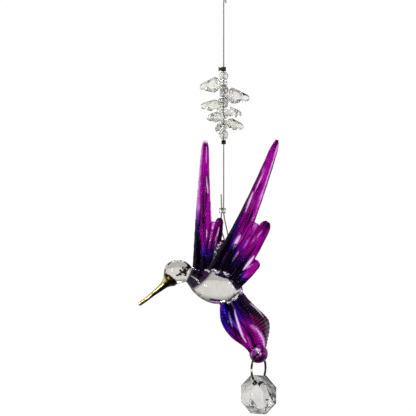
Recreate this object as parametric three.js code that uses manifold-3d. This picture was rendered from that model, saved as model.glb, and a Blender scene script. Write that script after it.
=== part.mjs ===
// Hanging suncatcher: a lampworked glass hummingbird on beading wire, with faceted glass beads above
// it and an octagon-cut crystal on a jump ring below its tail.
// X runs to the right as the bird is seen from its left flank, Y away from the viewer and Z up.
// The origin is the inside crown of the wire loop that the ornament hangs by. Lengths are in mm.
import * as THREE from "three";
import { mergeVertices } from "three/addons/utils/BufferGeometryUtils.js";
import Module from "manifold-3d";

const wasm = await Module();
wasm.setup();

// Wire, and the space that touching pieces keep
const WIRE_DIAMETER = 0.5;
const CLEARANCE = 0.3;
const CRIMP_WALL = 0.35;

// Along the hanging line
const HANGING_LOOP_HEIGHT = 8;
const HANGING_LOOP_WIDTH = 6;
const TOP_CRIMP_HEIGHT = 2;
const UPPER_RUN = 25.3;
const BEAD_CRIMP_HEIGHT = 1.5;
const BEAD_CRIMP_WIDTH = 2.9;
const BEAD_CRIMP_OFFSET = 0.5;
const LOWER_RUN = 23.2;
const LOOP_CRIMP_HEIGHT = 1.9;
const BIRD_LOOP_HEIGHT = 13.5;
const BIRD_LOOP_WIDTH = 5.4;
const TOP_WIRE_TAIL = 2;
const BIRD_WIRE_TAIL = 5;

// Round beads
const UPPER_BEAD_DIAMETER = 3.7;
const UPPER_BEAD_HEIGHT = 3;
const LOWER_BEAD_DIAMETER = 3.6;
const LOWER_BEAD_HEIGHT = 3.2;

// Drop beads, from the top down: heading round the wire in degrees from +X, reach, girth, and how far
// the loosely strung tip droops
const DROP_NECK_HEIGHT = 1.7;
const DROP_NECK_REACH = 1.15;
const DROP_BELLY_REACH = 3.2;
const DROP_TIP_DIAMETER = 2.1;
const DROP_TIP_ROUNDING = 0.4;
const DROP_BEADS = [
  { heading: 180, reach: 8.7, girth: 5.8, droop: 1.3 },
  { heading: 272, reach: 6.2, girth: 3.2, droop: 1 },
  { heading: 354, reach: 9.4, girth: 5.9, droop: 1.5 },
  { heading: 92, reach: 7.6, girth: 3.8, droop: 1 },
  { heading: 181, reach: 8.3, girth: 4.5, droop: 0.3 },
  { heading: 335, reach: 6.9, girth: 3.9, droop: 1.3 },
  { heading: 213, reach: 7, girth: 3.9, droop: 0.7 },
  { heading: 6, reach: 7.2, girth: 4.3, droop: 1.8 },
  { heading: 251, reach: 7.2, girth: 4, droop: 1 },
];

// Bird
const BODY_DIAMETER = 12.6;
const HEAD_LENGTH = 10.4;
const HEAD_HEIGHT = 8.6;
const HEAD_WIDTH = 8.4;
const BEAK_LENGTH = 16.7;
const BEAK_TIP_DIAMETER = 1.4;
const BEAK_HEADING = 220;
const NEAR_WING_LENGTH = 51.9;
const FAR_WING_LENGTH = 49.1;
const WING_SPREAD = 11.5;
const WING_ROOT_THICKNESS = 3.2;
const WING_TIP_THICKNESS = 1.9;
const TAIL_LENGTH = 26.4;
const TAIL_WIDTH = 15.8;
const TAIL_THICKNESS = 2.3;
const TAIL_FOLD_DEPTH = 1.5;
const TAIL_SWAY = 1.2;
const TAIL_HEADING = -65;
const TAIL_EYE_BORE = 2.6;
const TAIL_EYE_WALL = 2.1;
const TAIL_END_THICKNESS = 4;
const HANGING_EYE_ROD = 2.5;
const HANGING_EYE_OPENING = 4.4;
const EYE_CROWN_ABOVE_BODY = 16;
const EYE_CROWN_BEHIND_BODY = 3.2;

// Jump ring and crystal
const RING_OUTER_DIAMETER = 11.2;
const RING_WIRE = 0.8;
const RING_TURN = 59;
const CRYSTAL_HEIGHT = 14;
const CRYSTAL_THICKNESS = 6.4;
const CRYSTAL_TABLE = 7.6;
const CRYSTAL_EDGE = 1.2;
const CRYSTAL_TOP_WALL = 1.5;

// How finely round forms are cut
const BORE_SIDES = 12;
const BEAD_SIDES = 10;
const DROP_SIDES = 8;
const BODY_SIDES = 20;
const HEAD_SIDES = 16;
const BEAK_SIDES = 12;
const WING_SIDES = 16;
const TAIL_SIDES = 28;
const TAIL_END_SIDES = 18;
const RING_SIDES = 8;
const RING_STEPS = 28;

// Finishes
const CLEAR_GLASS = 0xdcdcd8;
const VIOLET_GLASS = 0x8a1a9c;
const WIRE_GREY = 0x8a8a88;
const BRIGHT_CRIMP = 0xb8b8b4;
const DARK_CRIMP = 0x3c3a38;
const RING_STEEL = 0xa8a8a4;
const glassLook = (color) => new THREE.MeshStandardMaterial({ color, roughness: 0.06, metalness: 0 });
const metalLook = (color) => new THREE.MeshStandardMaterial({ color, roughness: 0.35, metalness: 1 });

const lerp = THREE.MathUtils.lerp;
const smooth = (t) => THREE.MathUtils.smoothstep(t, 0, 1);
const radians = THREE.MathUtils.degToRad;
const vec = (x, y, z) => new THREE.Vector3(x, y, z);
const LATERAL = vec(0, -1, 0);
const UP = vec(0, 0, 1);

// A closed three.js geometry as a solid, and back
function solidOf(geometry) {
  const bare = geometry.index ? geometry.toNonIndexed() : geometry.clone();
  bare.deleteAttribute("normal");
  bare.deleteAttribute("uv");
  const merged = mergeVertices(bare, 1e-4);
  const vertProperties = merged.attributes.position.array;
  const triVerts = new Uint32Array(merged.index.array);
  return new wasm.Manifold(new wasm.Mesh({ numProp: 3, vertProperties, triVerts }));
}

function geometryOf(solid) {
  const mesh = solid.getMesh();
  const stride = mesh.numProp;
  const flat = [];
  for (const corner of mesh.triVerts) {
    flat.push(...mesh.vertProperties.subarray(corner * stride, corner * stride + 3));
  }
  const geometry = new THREE.BufferGeometry();
  geometry.setAttribute("position", new THREE.Float32BufferAttribute(flat, 3));
  geometry.computeVertexNormals();
  return geometry;
}

const join = (solids) => solids.reduce((whole, next) => whole.add(next));

// One ring of points, each made from its turn round the ring in radians
const ringOf = (sides, pointAt, shift = 0) =>
  Array.from({ length: sides }, (_, j) => pointAt(((j + shift) / sides) * 2 * Math.PI));

// A closed skin over rings of points, each ring with as many points, with a fan at both ends
function skin(rings) {
  const sides = rings[0].length;
  const flat = [];
  const triangle = (a, b, c) => [a, b, c].forEach((p) => flat.push(p.x, p.y, p.z));
  rings.slice(1).forEach((ring, i) => {
    ring.forEach((point, j) => {
      const k = (j + 1) % sides;
      triangle(rings[i][j], rings[i][k], ring[k]);
      triangle(rings[i][j], ring[k], point);
    });
  });
  const fan = (ring, forward) => {
    const middle = ring.reduce((sum, p) => sum.add(p), new THREE.Vector3()).divideScalar(sides);
    ring.forEach((point, j) => {
      const next = ring[(j + 1) % sides];
      triangle(middle, forward ? point : next, forward ? next : point);
    });
  };
  fan(rings[0], false);
  fan(rings[rings.length - 1], true);
  const geometry = new THREE.BufferGeometry();
  geometry.setAttribute("position", new THREE.Float32BufferAttribute(flat, 3));
  return geometry;
}

// A skin along stations { at, across, through, half, deep }: an oval whose half width lies along
// across and whose half depth lies along through, shaped by an outline function if there is one
function loft(stations, sides, outline) {
  const round = (turn) => [Math.cos(turn), Math.sin(turn)];
  return skin(
    stations.map(({ at, across, through, half, deep }, i) =>
      ringOf(sides, (turn) => {
        const [u, v] = (outline ?? round)(turn, i / (stations.length - 1));
        return at.clone().addScaledVector(across, u * half).addScaledVector(through, v * deep);
      }),
    ),
  );
}

// Stations along a spine of [x, z, half height, half width] in the plane of symmetry
function spineStations(spine, place) {
  return spine.map(([x, z, high, wide], i) => {
    const before = spine[Math.max(i - 1, 0)];
    const after = spine[Math.min(i + 1, spine.length - 1)];
    const along = vec(after[0] - before[0], 0, after[1] - before[1]).normalize();
    const across = vec(-along.z, 0, along.x);
    return { at: vec(x, 0, z).add(place), across, through: LATERAL, half: high, deep: wide };
  });
}

function cylinderAlong(direction, centre, radius, length) {
  const bore = new THREE.CylinderGeometry(radius, radius, length, BORE_SIDES);
  const turn = new THREE.Quaternion().setFromUnitVectors(vec(0, 1, 0), direction);
  return solidOf(bore.applyQuaternion(turn).translate(centre.x, centre.y, centre.z));
}

// A bent round rod through points, with four sides to each arc step
function rodThrough(points, diameter, steps, arcSteps) {
  const route = new THREE.CatmullRomCurve3(points, false, "centripetal");
  const section = new THREE.Shape();
  section.absarc(0, 0, diameter / 2, 0, 2 * Math.PI);
  return new THREE.ExtrudeGeometry(section, { steps, curveSegments: arcSteps, extrudePath: route });
}

// Where everything sits along the wire, from the loop's crown down
const wireRadius = WIRE_DIAMETER / 2;
const strandPitch = WIRE_DIAMETER + CLEARANCE;
const boreRadius = (wireRadius + CLEARANCE) / Math.cos(Math.PI / BORE_SIDES);
const topCrimpZ = -HANGING_LOOP_HEIGHT - TOP_CRIMP_HEIGHT / 2;
const upperCrimpZ = topCrimpZ - TOP_CRIMP_HEIGHT / 2 - UPPER_RUN - BEAD_CRIMP_HEIGHT / 2;
const upperBeadZ = upperCrimpZ - BEAD_CRIMP_HEIGHT / 2 - CLEARANCE - UPPER_BEAD_HEIGHT / 2;
const dropPitch = DROP_NECK_HEIGHT + CLEARANCE;
const firstDropZ = upperBeadZ - UPPER_BEAD_HEIGHT / 2 - CLEARANCE - DROP_NECK_HEIGHT / 2;
const lastDropZ = firstDropZ - dropPitch * (DROP_BEADS.length - 1);
const lowerBeadZ = lastDropZ - DROP_NECK_HEIGHT / 2 - CLEARANCE - LOWER_BEAD_HEIGHT / 2;
const lowerCrimpZ = lowerBeadZ - LOWER_BEAD_HEIGHT / 2 - CLEARANCE - BEAD_CRIMP_HEIGHT / 2;
const loopCrimpZ = lowerCrimpZ - BEAD_CRIMP_HEIGHT / 2 - LOWER_RUN - LOOP_CRIMP_HEIGHT / 2;
const loopFootZ = loopCrimpZ - BIRD_LOOP_HEIGHT;

// The hanging loop, from the short end's side over its crown: half widths, and loop heights down
const HANGING_LOOP = [
  [0.8, 0.775],
  [1, 0.425],
  [0.7, 0.1125],
  [0, 0],
  [-0.7, 0.1125],
  [-1, 0.425],
  [-0.6, 0.775],
];

// The loop at the bird, round through its hanging eye and back: loop widths to the right, half widths
// away from the viewer, and loop heights down
const BIRD_LOOP = [
  [0.074, -0.444, 0.26],
  [0.25, -1, 0.593],
  [0.296, -0.963, 0.815],
  [0.222, -0.519, 0.963],
  [0.148, 0, 1],
  [0.111, 0.556, 0.956],
  [0.056, 1, 0.793],
  [-0.093, 1, 0.593],
  [-0.167, 0.481, 0.26],
];
const birdLoop = BIRD_LOOP.map(([right, back, down]) => [
  right * BIRD_LOOP_WIDTH,
  (back * BIRD_LOOP_WIDTH) / 2,
  loopCrimpZ - down * BIRD_LOOP_HEIGHT,
]);
const wireFootX = birdLoop.find(([, back]) => back === 0)[0];

// The wire is one length: its short end, the hanging loop, the long drop, the loop at the bird and the
// other short end. It runs straight through each crimp.
function wire() {
  const throughTop = topCrimpZ + 0.3 * TOP_CRIMP_HEIGHT;
  const throughLoop = loopCrimpZ - 0.3 * LOOP_CRIMP_HEIGHT;
  const lastEnd = loopCrimpZ + LOOP_CRIMP_HEIGHT / 2;
  const hangingLoop = HANGING_LOOP.map(([half, down]) => [
    (half * HANGING_LOOP_WIDTH) / 2,
    0,
    wireRadius - down * (HANGING_LOOP_HEIGHT + wireRadius),
  ]);
  const points = [
    [strandPitch, 0, topCrimpZ - TOP_CRIMP_HEIGHT / 2 - TOP_WIRE_TAIL],
    [strandPitch, 0, throughTop],
    ...hangingLoop,
    [0, 0, throughTop],
    [0, 0, topCrimpZ - 2 * TOP_CRIMP_HEIGHT],
    [0, 0, upperCrimpZ],
    [0, 0, firstDropZ],
    [0, 0, lastDropZ],
    [0, 0, lowerCrimpZ],
    [0, 0, loopCrimpZ + 3 * LOOP_CRIMP_HEIGHT],
    [0, 0, throughLoop],
    ...birdLoop,
    [-strandPitch, 0, throughLoop],
    [-strandPitch, 0, lastEnd + 0.2 * BIRD_WIRE_TAIL],
    [-strandPitch - wireRadius / 2, wireRadius, lastEnd + BIRD_WIRE_TAIL],
  ];
  return rodThrough(points.map((point) => vec(...point)), WIRE_DIAMETER, 80, 4);
}

// A crimp tube pressed over one or two strands, with a waist where the pliers closed it. The strands
// may pass beside its middle, by offset.
const CRIMP_WAIST = [0.86, 1, 0.9, 1, 0.86];
function crimp(x, z, { height, width = 0, strands, offset = 0 }) {
  const deep = boreRadius + CRIMP_WALL;
  const straight = Math.max(width / 2 - deep, ((strands - 1) * strandPitch) / 2);
  const rings = CRIMP_WAIST.map((share, i) =>
    ringOf(BORE_SIDES, (turn) => {
      const side = Math.sign(Math.round(Math.cos(turn) * 1e6));
      const out = side * straight + Math.cos(turn) * deep * share;
      const level = i / (CRIMP_WAIST.length - 1) - 0.5;
      return vec(x + out, Math.sin(turn) * deep * share, z + level * height);
    }),
  );
  let tube = solidOf(skin(rings));
  for (let i = 0; i < strands; i += 1) {
    const strandX = x + offset + (i - (strands - 1) / 2) * strandPitch;
    tube = tube.subtract(cylinderAlong(UP, vec(strandX, 0, z), boreRadius, 2 * height));
  }
  return geometryOf(tube);
}

// A round bead with a belt of three-cornered facets on each side of its widest line
const BEAD_LEVELS = [
  [-0.5, 0.55, 0],
  [-0.3, 0.86, 0.5],
  [0, 1, 0],
  [0.3, 0.86, 0.5],
  [0.5, 0.55, 0],
];
function roundBead(z, diameter, height) {
  const rings = BEAD_LEVELS.map(([level, share, shift]) => {
    const radius = (share * diameter) / 2;
    const pointAt = (turn) => vec(radius * Math.cos(turn), radius * Math.sin(turn), z + level * height);
    return ringOf(BEAD_SIDES, pointAt, shift);
  });
  const bore = cylinderAlong(UP, vec(0, 0, z), boreRadius, 2 * height);
  return geometryOf(solidOf(skin(rings)).subtract(bore));
}

// A drop bead: a flat drilled neck round the wire, a belly and a long taper to a blunt tip
function dropBead(z, { heading, reach, girth, droop }) {
  const turn = radians(heading);
  const along = vec(Math.cos(turn), Math.sin(turn), 0);
  const across = vec(-along.y, along.x, 0);
  const neck = DROP_NECK_HEIGHT / 2;
  const cheek = boreRadius + CRIMP_WALL * 2;
  const belly = girth / 2;
  const tip = DROP_TIP_DIAMETER / 2;
  const profile = [
    [-1.16 * cheek, 0.6 * cheek, 0.6 * neck],
    [-0.7 * cheek, cheek, neck],
    [DROP_NECK_REACH, cheek, neck],
    [DROP_BELLY_REACH, belly, belly],
    [reach - DROP_TIP_ROUNDING, tip, tip],
    [reach, 0.6 * tip, 0.6 * tip],
  ];
  const stations = profile.map(([out, half, deep]) => ({
    at: along.clone().multiplyScalar(out).setZ(z - (droop * Math.max(out, 0)) / reach),
    across,
    through: UP,
    half,
    deep,
  }));
  const flats = 1 / Math.cos(Math.PI / DROP_SIDES);
  const flatSided = (angle) => {
    const shifted = angle + Math.PI / DROP_SIDES;
    return [flats * Math.cos(shifted), flats * Math.sin(shifted)];
  };
  const bore = cylinderAlong(UP, vec(0, 0, z), boreRadius, 3 * neck);
  return geometryOf(solidOf(loft(stations, DROP_SIDES, flatSided)).subtract(bore));
}

// The bird's own place: the middle of its body. The wire loop's foot carries its hanging eye. Places
// and proportions of the bird are shares of its own body, head, wings or tail.
const eyeCrownZ = loopFootZ + wireRadius + CLEARANCE + HANGING_EYE_ROD / 2;
const bodyPlace = vec(wireFootX - EYE_CROWN_BEHIND_BODY, 0, eyeCrownZ - EYE_CROWN_ABOVE_BODY);
const inBodies = (x, z, y = 0) => vec(x * BODY_DIAMETER, y, z * BODY_DIAMETER).add(bodyPlace);

// Body, from the neck over the round body to the rump, in body diameters: x, z, half height and width
const BODY_SPINE = [
  [-0.841, 0.397, 0.206, 0.214],
  [-0.762, 0.349, 0.246, 0.246],
  [-0.619, 0.254, 0.31, 0.31],
  [-0.429, 0.135, 0.405, 0.397],
  [-0.206, 0.048, 0.48, 0.475],
  [0, 0, 0.5, 0.5],
  [0.222, -0.024, 0.465, 0.465],
  [0.413, -0.056, 0.38, 0.38],
  [0.571, -0.087, 0.26, 0.25],
  [0.698, -0.119, 0.13, 0.12],
  [0.738, -0.127, 0.05, 0.05],
];
function body() {
  const spine = BODY_SPINE.map((row) => row.map((share) => share * BODY_DIAMETER));
  return solidOf(loft(spineStations(spine, bodyPlace), BODY_SIDES));
}

// Head: an egg in front of the body, a little above it
const headCentre = inBodies(-1.127, 0.437);
const HEAD_STEPS = 9;
function head() {
  const spine = Array.from({ length: HEAD_STEPS + 1 }, (_, i) => {
    const turn = lerp(0.06, 0.94, i / HEAD_STEPS) * Math.PI;
    const share = Math.sin(turn) / 2;
    return [(-Math.cos(turn) * HEAD_LENGTH) / 2, 0, share * HEAD_HEIGHT, share * HEAD_WIDTH];
  });
  return solidOf(loft(spineStations(spine, headCentre), HEAD_SIDES));
}

// Beak: flares where it is fused on the face, then a long, slightly sagging, blunt spike. The rows
// are shares of its length and half widths in head heights.
const BEAK_FLARE = [
  [0, 0.372],
  [0.13, 0.349],
  [0.2, 0.256],
  [0.28, 0.18],
  [0.4, 0.137],
  [0.6, 0.102],
  [0.8, 0.088],
];
const BEAK_SAG = 0.024;
function beak() {
  const root = headCentre.clone().add(vec(-0.154 * HEAD_LENGTH, 0, -0.163 * HEAD_HEIGHT));
  const turn = radians(BEAK_HEADING);
  const tip = BEAK_TIP_DIAMETER / 2;
  const widths = BEAK_FLARE.map(([share, half]) => [share, half * HEAD_HEIGHT]);
  widths.push([0.97, tip], [1, 0.6 * tip]);
  const spine = widths.map(([share, half]) => {
    const out = share * BEAK_LENGTH;
    const sag = BEAK_SAG * BEAK_LENGTH * Math.sin(share * Math.PI);
    const x = Math.cos(turn) * out - Math.sin(turn) * sag;
    const z = Math.sin(turn) * out + Math.cos(turn) * sag;
    return [x, z, half, half];
  });
  return solidOf(loft(spineStations(spine.reverse(), root), BEAK_SIDES));
}

// Each wing is a long leading finger with shorter ones behind it, fused along their roots. Roots and
// half widths are in body diameters, headings in degrees, reach and bow in wing lengths, and rootSide
// and tipSide say how far out of the shoulder and of the wing's tip a finger stands.
const NEAR_FINGERS = [
  {
    root: [0.095, 0.397],
    heading: 67.2,
    reach: 1,
    bow: -0.017,
    halfWidths: [0.389, 0.107],
    flutes: 3,
    thickness: 1,
    rootSide: 1,
    tipSide: 1,
  },
  {
    root: [0.286, 0.349],
    heading: 61.2,
    reach: 0.416,
    bow: -0.006,
    halfWidths: [0.286, 0.167],
    flutes: 2,
    thickness: 0.85,
    rootSide: 1,
    tipSide: 0.68,
  },
  {
    root: [0.397, 0.286],
    heading: 56.9,
    reach: 0.463,
    bow: -0.012,
    halfWidths: [0.31, 0.159],
    flutes: 2,
    thickness: 0.95,
    rootSide: 1,
    tipSide: 0.62,
  },
  {
    root: [0.46, 0.143],
    heading: 39.9,
    reach: 0.229,
    bow: -0.008,
    halfWidths: [0.27, 0.127],
    flutes: 1,
    thickness: 0.9,
    rootSide: 0.8,
    tipSide: 0.45,
  },
];
const FAR_FINGERS = [
  {
    root: [-0.381, 0.397],
    heading: 89.4,
    reach: 1,
    bow: 0.008,
    halfWidths: [0.349, 0.111],
    flutes: 3,
    thickness: 1,
    rootSide: 1,
    tipSide: 1,
  },
  {
    root: [-0.27, 0.397],
    heading: 83.3,
    reach: 0.383,
    bow: 0,
    halfWidths: [0.238, 0.119],
    flutes: 1,
    thickness: 0.8,
    rootSide: 1,
    tipSide: 0.4,
  },
  {
    root: [-0.143, 0.397],
    heading: 81.8,
    reach: 0.413,
    bow: 0.004,
    halfWidths: [0.238, 0.123],
    flutes: 1,
    thickness: 0.62,
    rootSide: 0.9,
    tipSide: 0,
  },
];
const shoulder = BODY_DIAMETER * 0.33;
const wingTipSide = shoulder + WING_SPREAD;
const FINGER_STEPS = 9;
const FLUTE_RELIEF = 0.16;

// One finger: a fluted blade from its root to a round tip. Side is -1 for the near wing, 1 for the far
// one.
function wingFinger(length, side, finger) {
  const turn = radians(finger.heading);
  const [rootHalf, tipHalf] = finger.halfWidths;
  const rootOut = side * shoulder * finger.rootSide;
  const tipOut = side * wingTipSide * finger.tipSide;
  const root = inBodies(...finger.root, rootOut);
  const line = vec(Math.cos(turn), 0, Math.sin(turn)).multiplyScalar(finger.reach * length);
  line.setY(tipOut - rootOut);
  const across = vec(-Math.sin(turn), 0, Math.cos(turn));
  const stations = Array.from({ length: FINGER_STEPS + 1 }, (_, i) => {
    const t = i / FINGER_STEPS;
    const swing = finger.bow * length * Math.sin(Math.PI * t);
    const rounding = Math.sqrt(Math.max(1 - Math.max((t - 0.9) / 0.11, 0) ** 2, 0));
    const half = lerp(rootHalf, tipHalf, t ** 0.85) * BODY_DIAMETER * rounding;
    const blade = finger.thickness * lerp(WING_ROOT_THICKNESS, WING_TIP_THICKNESS, t);
    const deep = (blade * lerp(0.4, 1, rounding)) / 2;
    const at = root.clone().addScaledVector(line, t).addScaledVector(across, swing);
    return { at, across, through: LATERAL, half, deep };
  });
  const fluted = (angle) => {
    const u = Math.cos(angle);
    return [u, Math.sin(angle) * (1 + FLUTE_RELIEF * Math.cos(finger.flutes * Math.PI * u))];
  };
  return solidOf(loft(stations, WING_SIDES, fluted));
}

const nearWing = () => NEAR_FINGERS.map((finger) => wingFinger(NEAR_WING_LENGTH, -1, finger));
const farWing = () => FAR_FINGERS.map((finger) => wingFinger(FAR_WING_LENGTH, 1, finger));

// Tail: a pleated, twisted fan that narrows to a thick pierced end
const tailTurn = radians(TAIL_HEADING);
const tailRoot = inBodies(0.46, -0.27);
const tailAlong = vec(Math.cos(tailTurn), 0, Math.sin(tailTurn));
const tailAcross = vec(tailAlong.z, 0, -tailAlong.x);
const TAIL_STEPS = 12;
const TAIL_TWIST = [-0.32, 0.5];
const TAIL_PLEATS = 1.5;
const PLEAT_SHIFT = 0.6;
function tail() {
  const narrowing = (t) => smooth((t - 0.6) / 0.4);
  const stations = Array.from({ length: TAIL_STEPS + 1 }, (_, i) => {
    const t = i / TAIL_STEPS;
    const sway = TAIL_SWAY * Math.sin(2 * Math.PI * t) + 0.05 * TAIL_WIDTH * narrowing(t);
    const at = tailRoot.clone().addScaledVector(tailAcross, sway);
    at.addScaledVector(tailAlong, t * TAIL_LENGTH - 0.16 * BODY_DIAMETER);
    const opening = Math.sin((Math.PI / 2) * Math.min(t / 0.6, 1));
    const share = 0.44 + 0.56 * opening - 0.6 * smooth((t - 0.55) / 0.45);
    const turn = lerp(...TAIL_TWIST, t);
    const across = tailAcross.clone().multiplyScalar(Math.cos(turn));
    across.addScaledVector(LATERAL, Math.sin(turn));
    const through = tailAlong.clone().cross(across);
    return { at, across, through, half: (TAIL_WIDTH / 2) * share, deep: 1 };
  });
  const pleated = (angle, t) => {
    const u = Math.cos(angle);
    const pleat = Math.sin(TAIL_PLEATS * Math.PI * u + PLEAT_SHIFT);
    const fold = TAIL_FOLD_DEPTH * pleat * (1 - narrowing(t));
    return [u, fold + (Math.sin(angle) * TAIL_THICKNESS) / 2];
  };
  return solidOf(loft(stations, TAIL_SIDES, pleated));
}

// The jump ring hangs in the tail's eye, and its plane holds the eye's axis
const ringTurn = radians(RING_TURN);
const ringAcross = vec(Math.cos(ringTurn), Math.sin(ringTurn), 0);
const ringSquare = vec(-ringAcross.y, ringAcross.x, 0);
const ringRadius = (RING_OUTER_DIAMETER - RING_WIRE) / 2;
const tailEye = tailRoot.clone().addScaledVector(tailAlong, 0.87 * TAIL_LENGTH);
tailEye.addScaledVector(tailAcross, 0.028 * TAIL_WIDTH);
const arcRise = (chord) => ringRadius - Math.sqrt(ringRadius ** 2 - (chord / 2) ** 2);
const eyeFoot = tailEye.z - TAIL_EYE_BORE / 2;
const ringTop = eyeFoot + CLEARANCE + RING_WIRE / 2 + arcRise(TAIL_END_THICKNESS);
const ringCentre = vec(tailEye.x, tailEye.y, ringTop - ringRadius);

// A thick round bead of glass at the tail's end, pierced along the ring's plane
const TAIL_END_LEVELS = [
  [-0.5, 0.72],
  [-0.3, 0.95],
  [0, 1],
  [0.3, 0.95],
  [0.5, 0.72],
];
function tailEnd() {
  const radius = TAIL_EYE_BORE / 2 + TAIL_EYE_WALL;
  const stations = TAIL_END_LEVELS.map(([level, share]) => ({
    at: tailEye.clone().addScaledVector(ringAcross, level * TAIL_END_THICKNESS),
    across: ringSquare,
    through: UP,
    half: share * radius,
    deep: share * radius,
  }));
  return solidOf(loft(stations, TAIL_END_SIDES));
}

// The clear glass eye on the back: a rod bent into an arch, both feet fused into the back. The rows
// are arch half widths, rod diameters added outward, and shares of the arch's rise.
const EYE_ARCH = [
  [-1, -1, 0],
  [-1, -0.4, 0.32],
  [-1, 0, 0.56],
  [-0.92, 0, 0.76],
  [-0.66, 0, 0.93],
  [0, 0, 1],
  [0.66, 0, 0.93],
  [0.92, 0, 0.76],
  [1, 0, 0.56],
  [1, 0.25, 0.32],
  [1, 0.4, -0.16],
];
function hangingEye() {
  const half = (HANGING_EYE_OPENING + HANGING_EYE_ROD) / 2;
  const middle = bodyPlace.x + EYE_CROWN_BEHIND_BODY;
  const foot = bodyPlace.z + 0.28 * BODY_DIAMETER;
  const rise = eyeCrownZ - foot;
  const points = EYE_ARCH.map(([halves, rods, share]) =>
    vec(middle + halves * half + rods * HANGING_EYE_ROD, 0, foot + share * rise),
  );
  return solidOf(rodThrough(points, HANGING_EYE_ROD, 22, 5));
}

function bird() {
  const wings = [...nearWing(), ...farWing()];
  const pieces = [body(), head(), beak(), ...wings, tail(), tailEnd(), hangingEye()];
  const bore = cylinderAlong(ringAcross, tailEye, TAIL_EYE_BORE / 2, 3 * TAIL_END_THICKNESS);
  return geometryOf(join(pieces).subtract(bore));
}

function jumpRing() {
  const ring = new THREE.TorusGeometry(ringRadius, RING_WIRE / 2, RING_SIDES, RING_STEPS);
  const lay = new THREE.Matrix4().makeBasis(ringAcross, UP, ringSquare.clone().negate());
  return ring.applyMatrix4(lay).translate(ringCentre.x, ringCentre.y, ringCentre.z);
}

// The crystal hangs on the ring's foot. Its hole clears the ring's wire and the rise of the ring's arc
// through the glass, which is thinner near its edge.
const riseInCrystal = arcRise(0.75 * CRYSTAL_THICKNESS);
const crystalBore = RING_WIRE + 2 * CLEARANCE + riseInCrystal;
const holeTop = ringCentre.z - ringRadius + RING_WIRE / 2 + CLEARANCE + riseInCrystal;
const crystalZ = holeTop + CRYSTAL_TOP_WALL - CRYSTAL_HEIGHT / 2;

// The crystal: an octagon with a flat table, a belt of kite facets and a narrow edge on both faces
function crystal() {
  const sides = 8;
  const flats = 1 / Math.cos(Math.PI / sides);
  const edge = (CRYSTAL_HEIGHT / 2) * flats;
  const table = (CRYSTAL_TABLE / 2) * flats;
  const belt = 0.49 * (table + edge);
  const levels = [
    [CRYSTAL_EDGE / 2, edge, 0.5],
    [0.3125 * CRYSTAL_THICKNESS, belt, 0],
    [0.5 * CRYSTAL_THICKNESS, table, 0.5],
  ];
  const mirrored = levels.map(([out, radius, shift]) => [-out, radius, shift]).reverse();
  const centre = vec(ringCentre.x, ringCentre.y, crystalZ);
  const rings = [...mirrored, ...levels].map(([out, radius, shift]) => {
    const middle = centre.clone().addScaledVector(ringAcross, out);
    const pointAt = (turn) =>
      middle
        .clone()
        .addScaledVector(ringSquare, radius * Math.cos(turn))
        .addScaledVector(UP, radius * Math.sin(turn));
    return ringOf(sides, pointAt, shift);
  });
  const hole = vec(ringCentre.x, ringCentre.y, holeTop - crystalBore / 2);
  const bore = cylinderAlong(ringAcross, hole, crystalBore / 2, 3 * CRYSTAL_THICKNESS);
  return geometryOf(solidOf(skin(rings)).subtract(bore));
}

const topCrimp = { height: TOP_CRIMP_HEIGHT, strands: 2 };
const birdCrimp = { height: LOOP_CRIMP_HEIGHT, strands: 2 };
const plainBeadCrimp = { height: BEAD_CRIMP_HEIGHT, strands: 1 };
const pressedBeadCrimp = { ...plainBeadCrimp, width: BEAD_CRIMP_WIDTH, offset: BEAD_CRIMP_OFFSET };

const group = new THREE.Group();
const add = (name, geometry, material) => {
  const mesh = new THREE.Mesh(geometry, material);
  mesh.name = name;
  group.add(mesh);
};

add("glass_hummingbird", bird(), glassLook(VIOLET_GLASS));
add("hanging_wire", wire(), metalLook(WIRE_GREY));
add("top_loop_crimp", crimp(strandPitch / 2, topCrimpZ, topCrimp), metalLook(BRIGHT_CRIMP));
add("upper_bead_crimp", crimp(-BEAD_CRIMP_OFFSET, upperCrimpZ, pressedBeadCrimp), metalLook(DARK_CRIMP));
const upperBead = roundBead(upperBeadZ, UPPER_BEAD_DIAMETER, UPPER_BEAD_HEIGHT);
add("upper_round_bead", upperBead, glassLook(CLEAR_GLASS));
DROP_BEADS.forEach((bead, i) => {
  add(`drop_bead_${i + 1}`, dropBead(firstDropZ - i * dropPitch, bead), glassLook(CLEAR_GLASS));
});
const lowerBead = roundBead(lowerBeadZ, LOWER_BEAD_DIAMETER, LOWER_BEAD_HEIGHT);
add("lower_round_bead", lowerBead, glassLook(CLEAR_GLASS));
add("lower_bead_crimp", crimp(0, lowerCrimpZ, plainBeadCrimp), metalLook(DARK_CRIMP));
add("bird_loop_crimp", crimp(-strandPitch / 2, loopCrimpZ, birdCrimp), metalLook(BRIGHT_CRIMP));
add("jump_ring", jumpRing(), metalLook(RING_STEEL));
add("octagon_crystal", crystal(), glassLook(CLEAR_GLASS));

export default group;
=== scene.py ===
"""Hanging hummingbird suncatcher in torch-worked glass: its looks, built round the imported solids.

X runs to the right as the bird is seen from its left flank, Y away from the viewer and Z up. Shapes
are worked out in millimetres and turned to metres where their mesh is made.
"""

import math
from functools import partial

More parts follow.
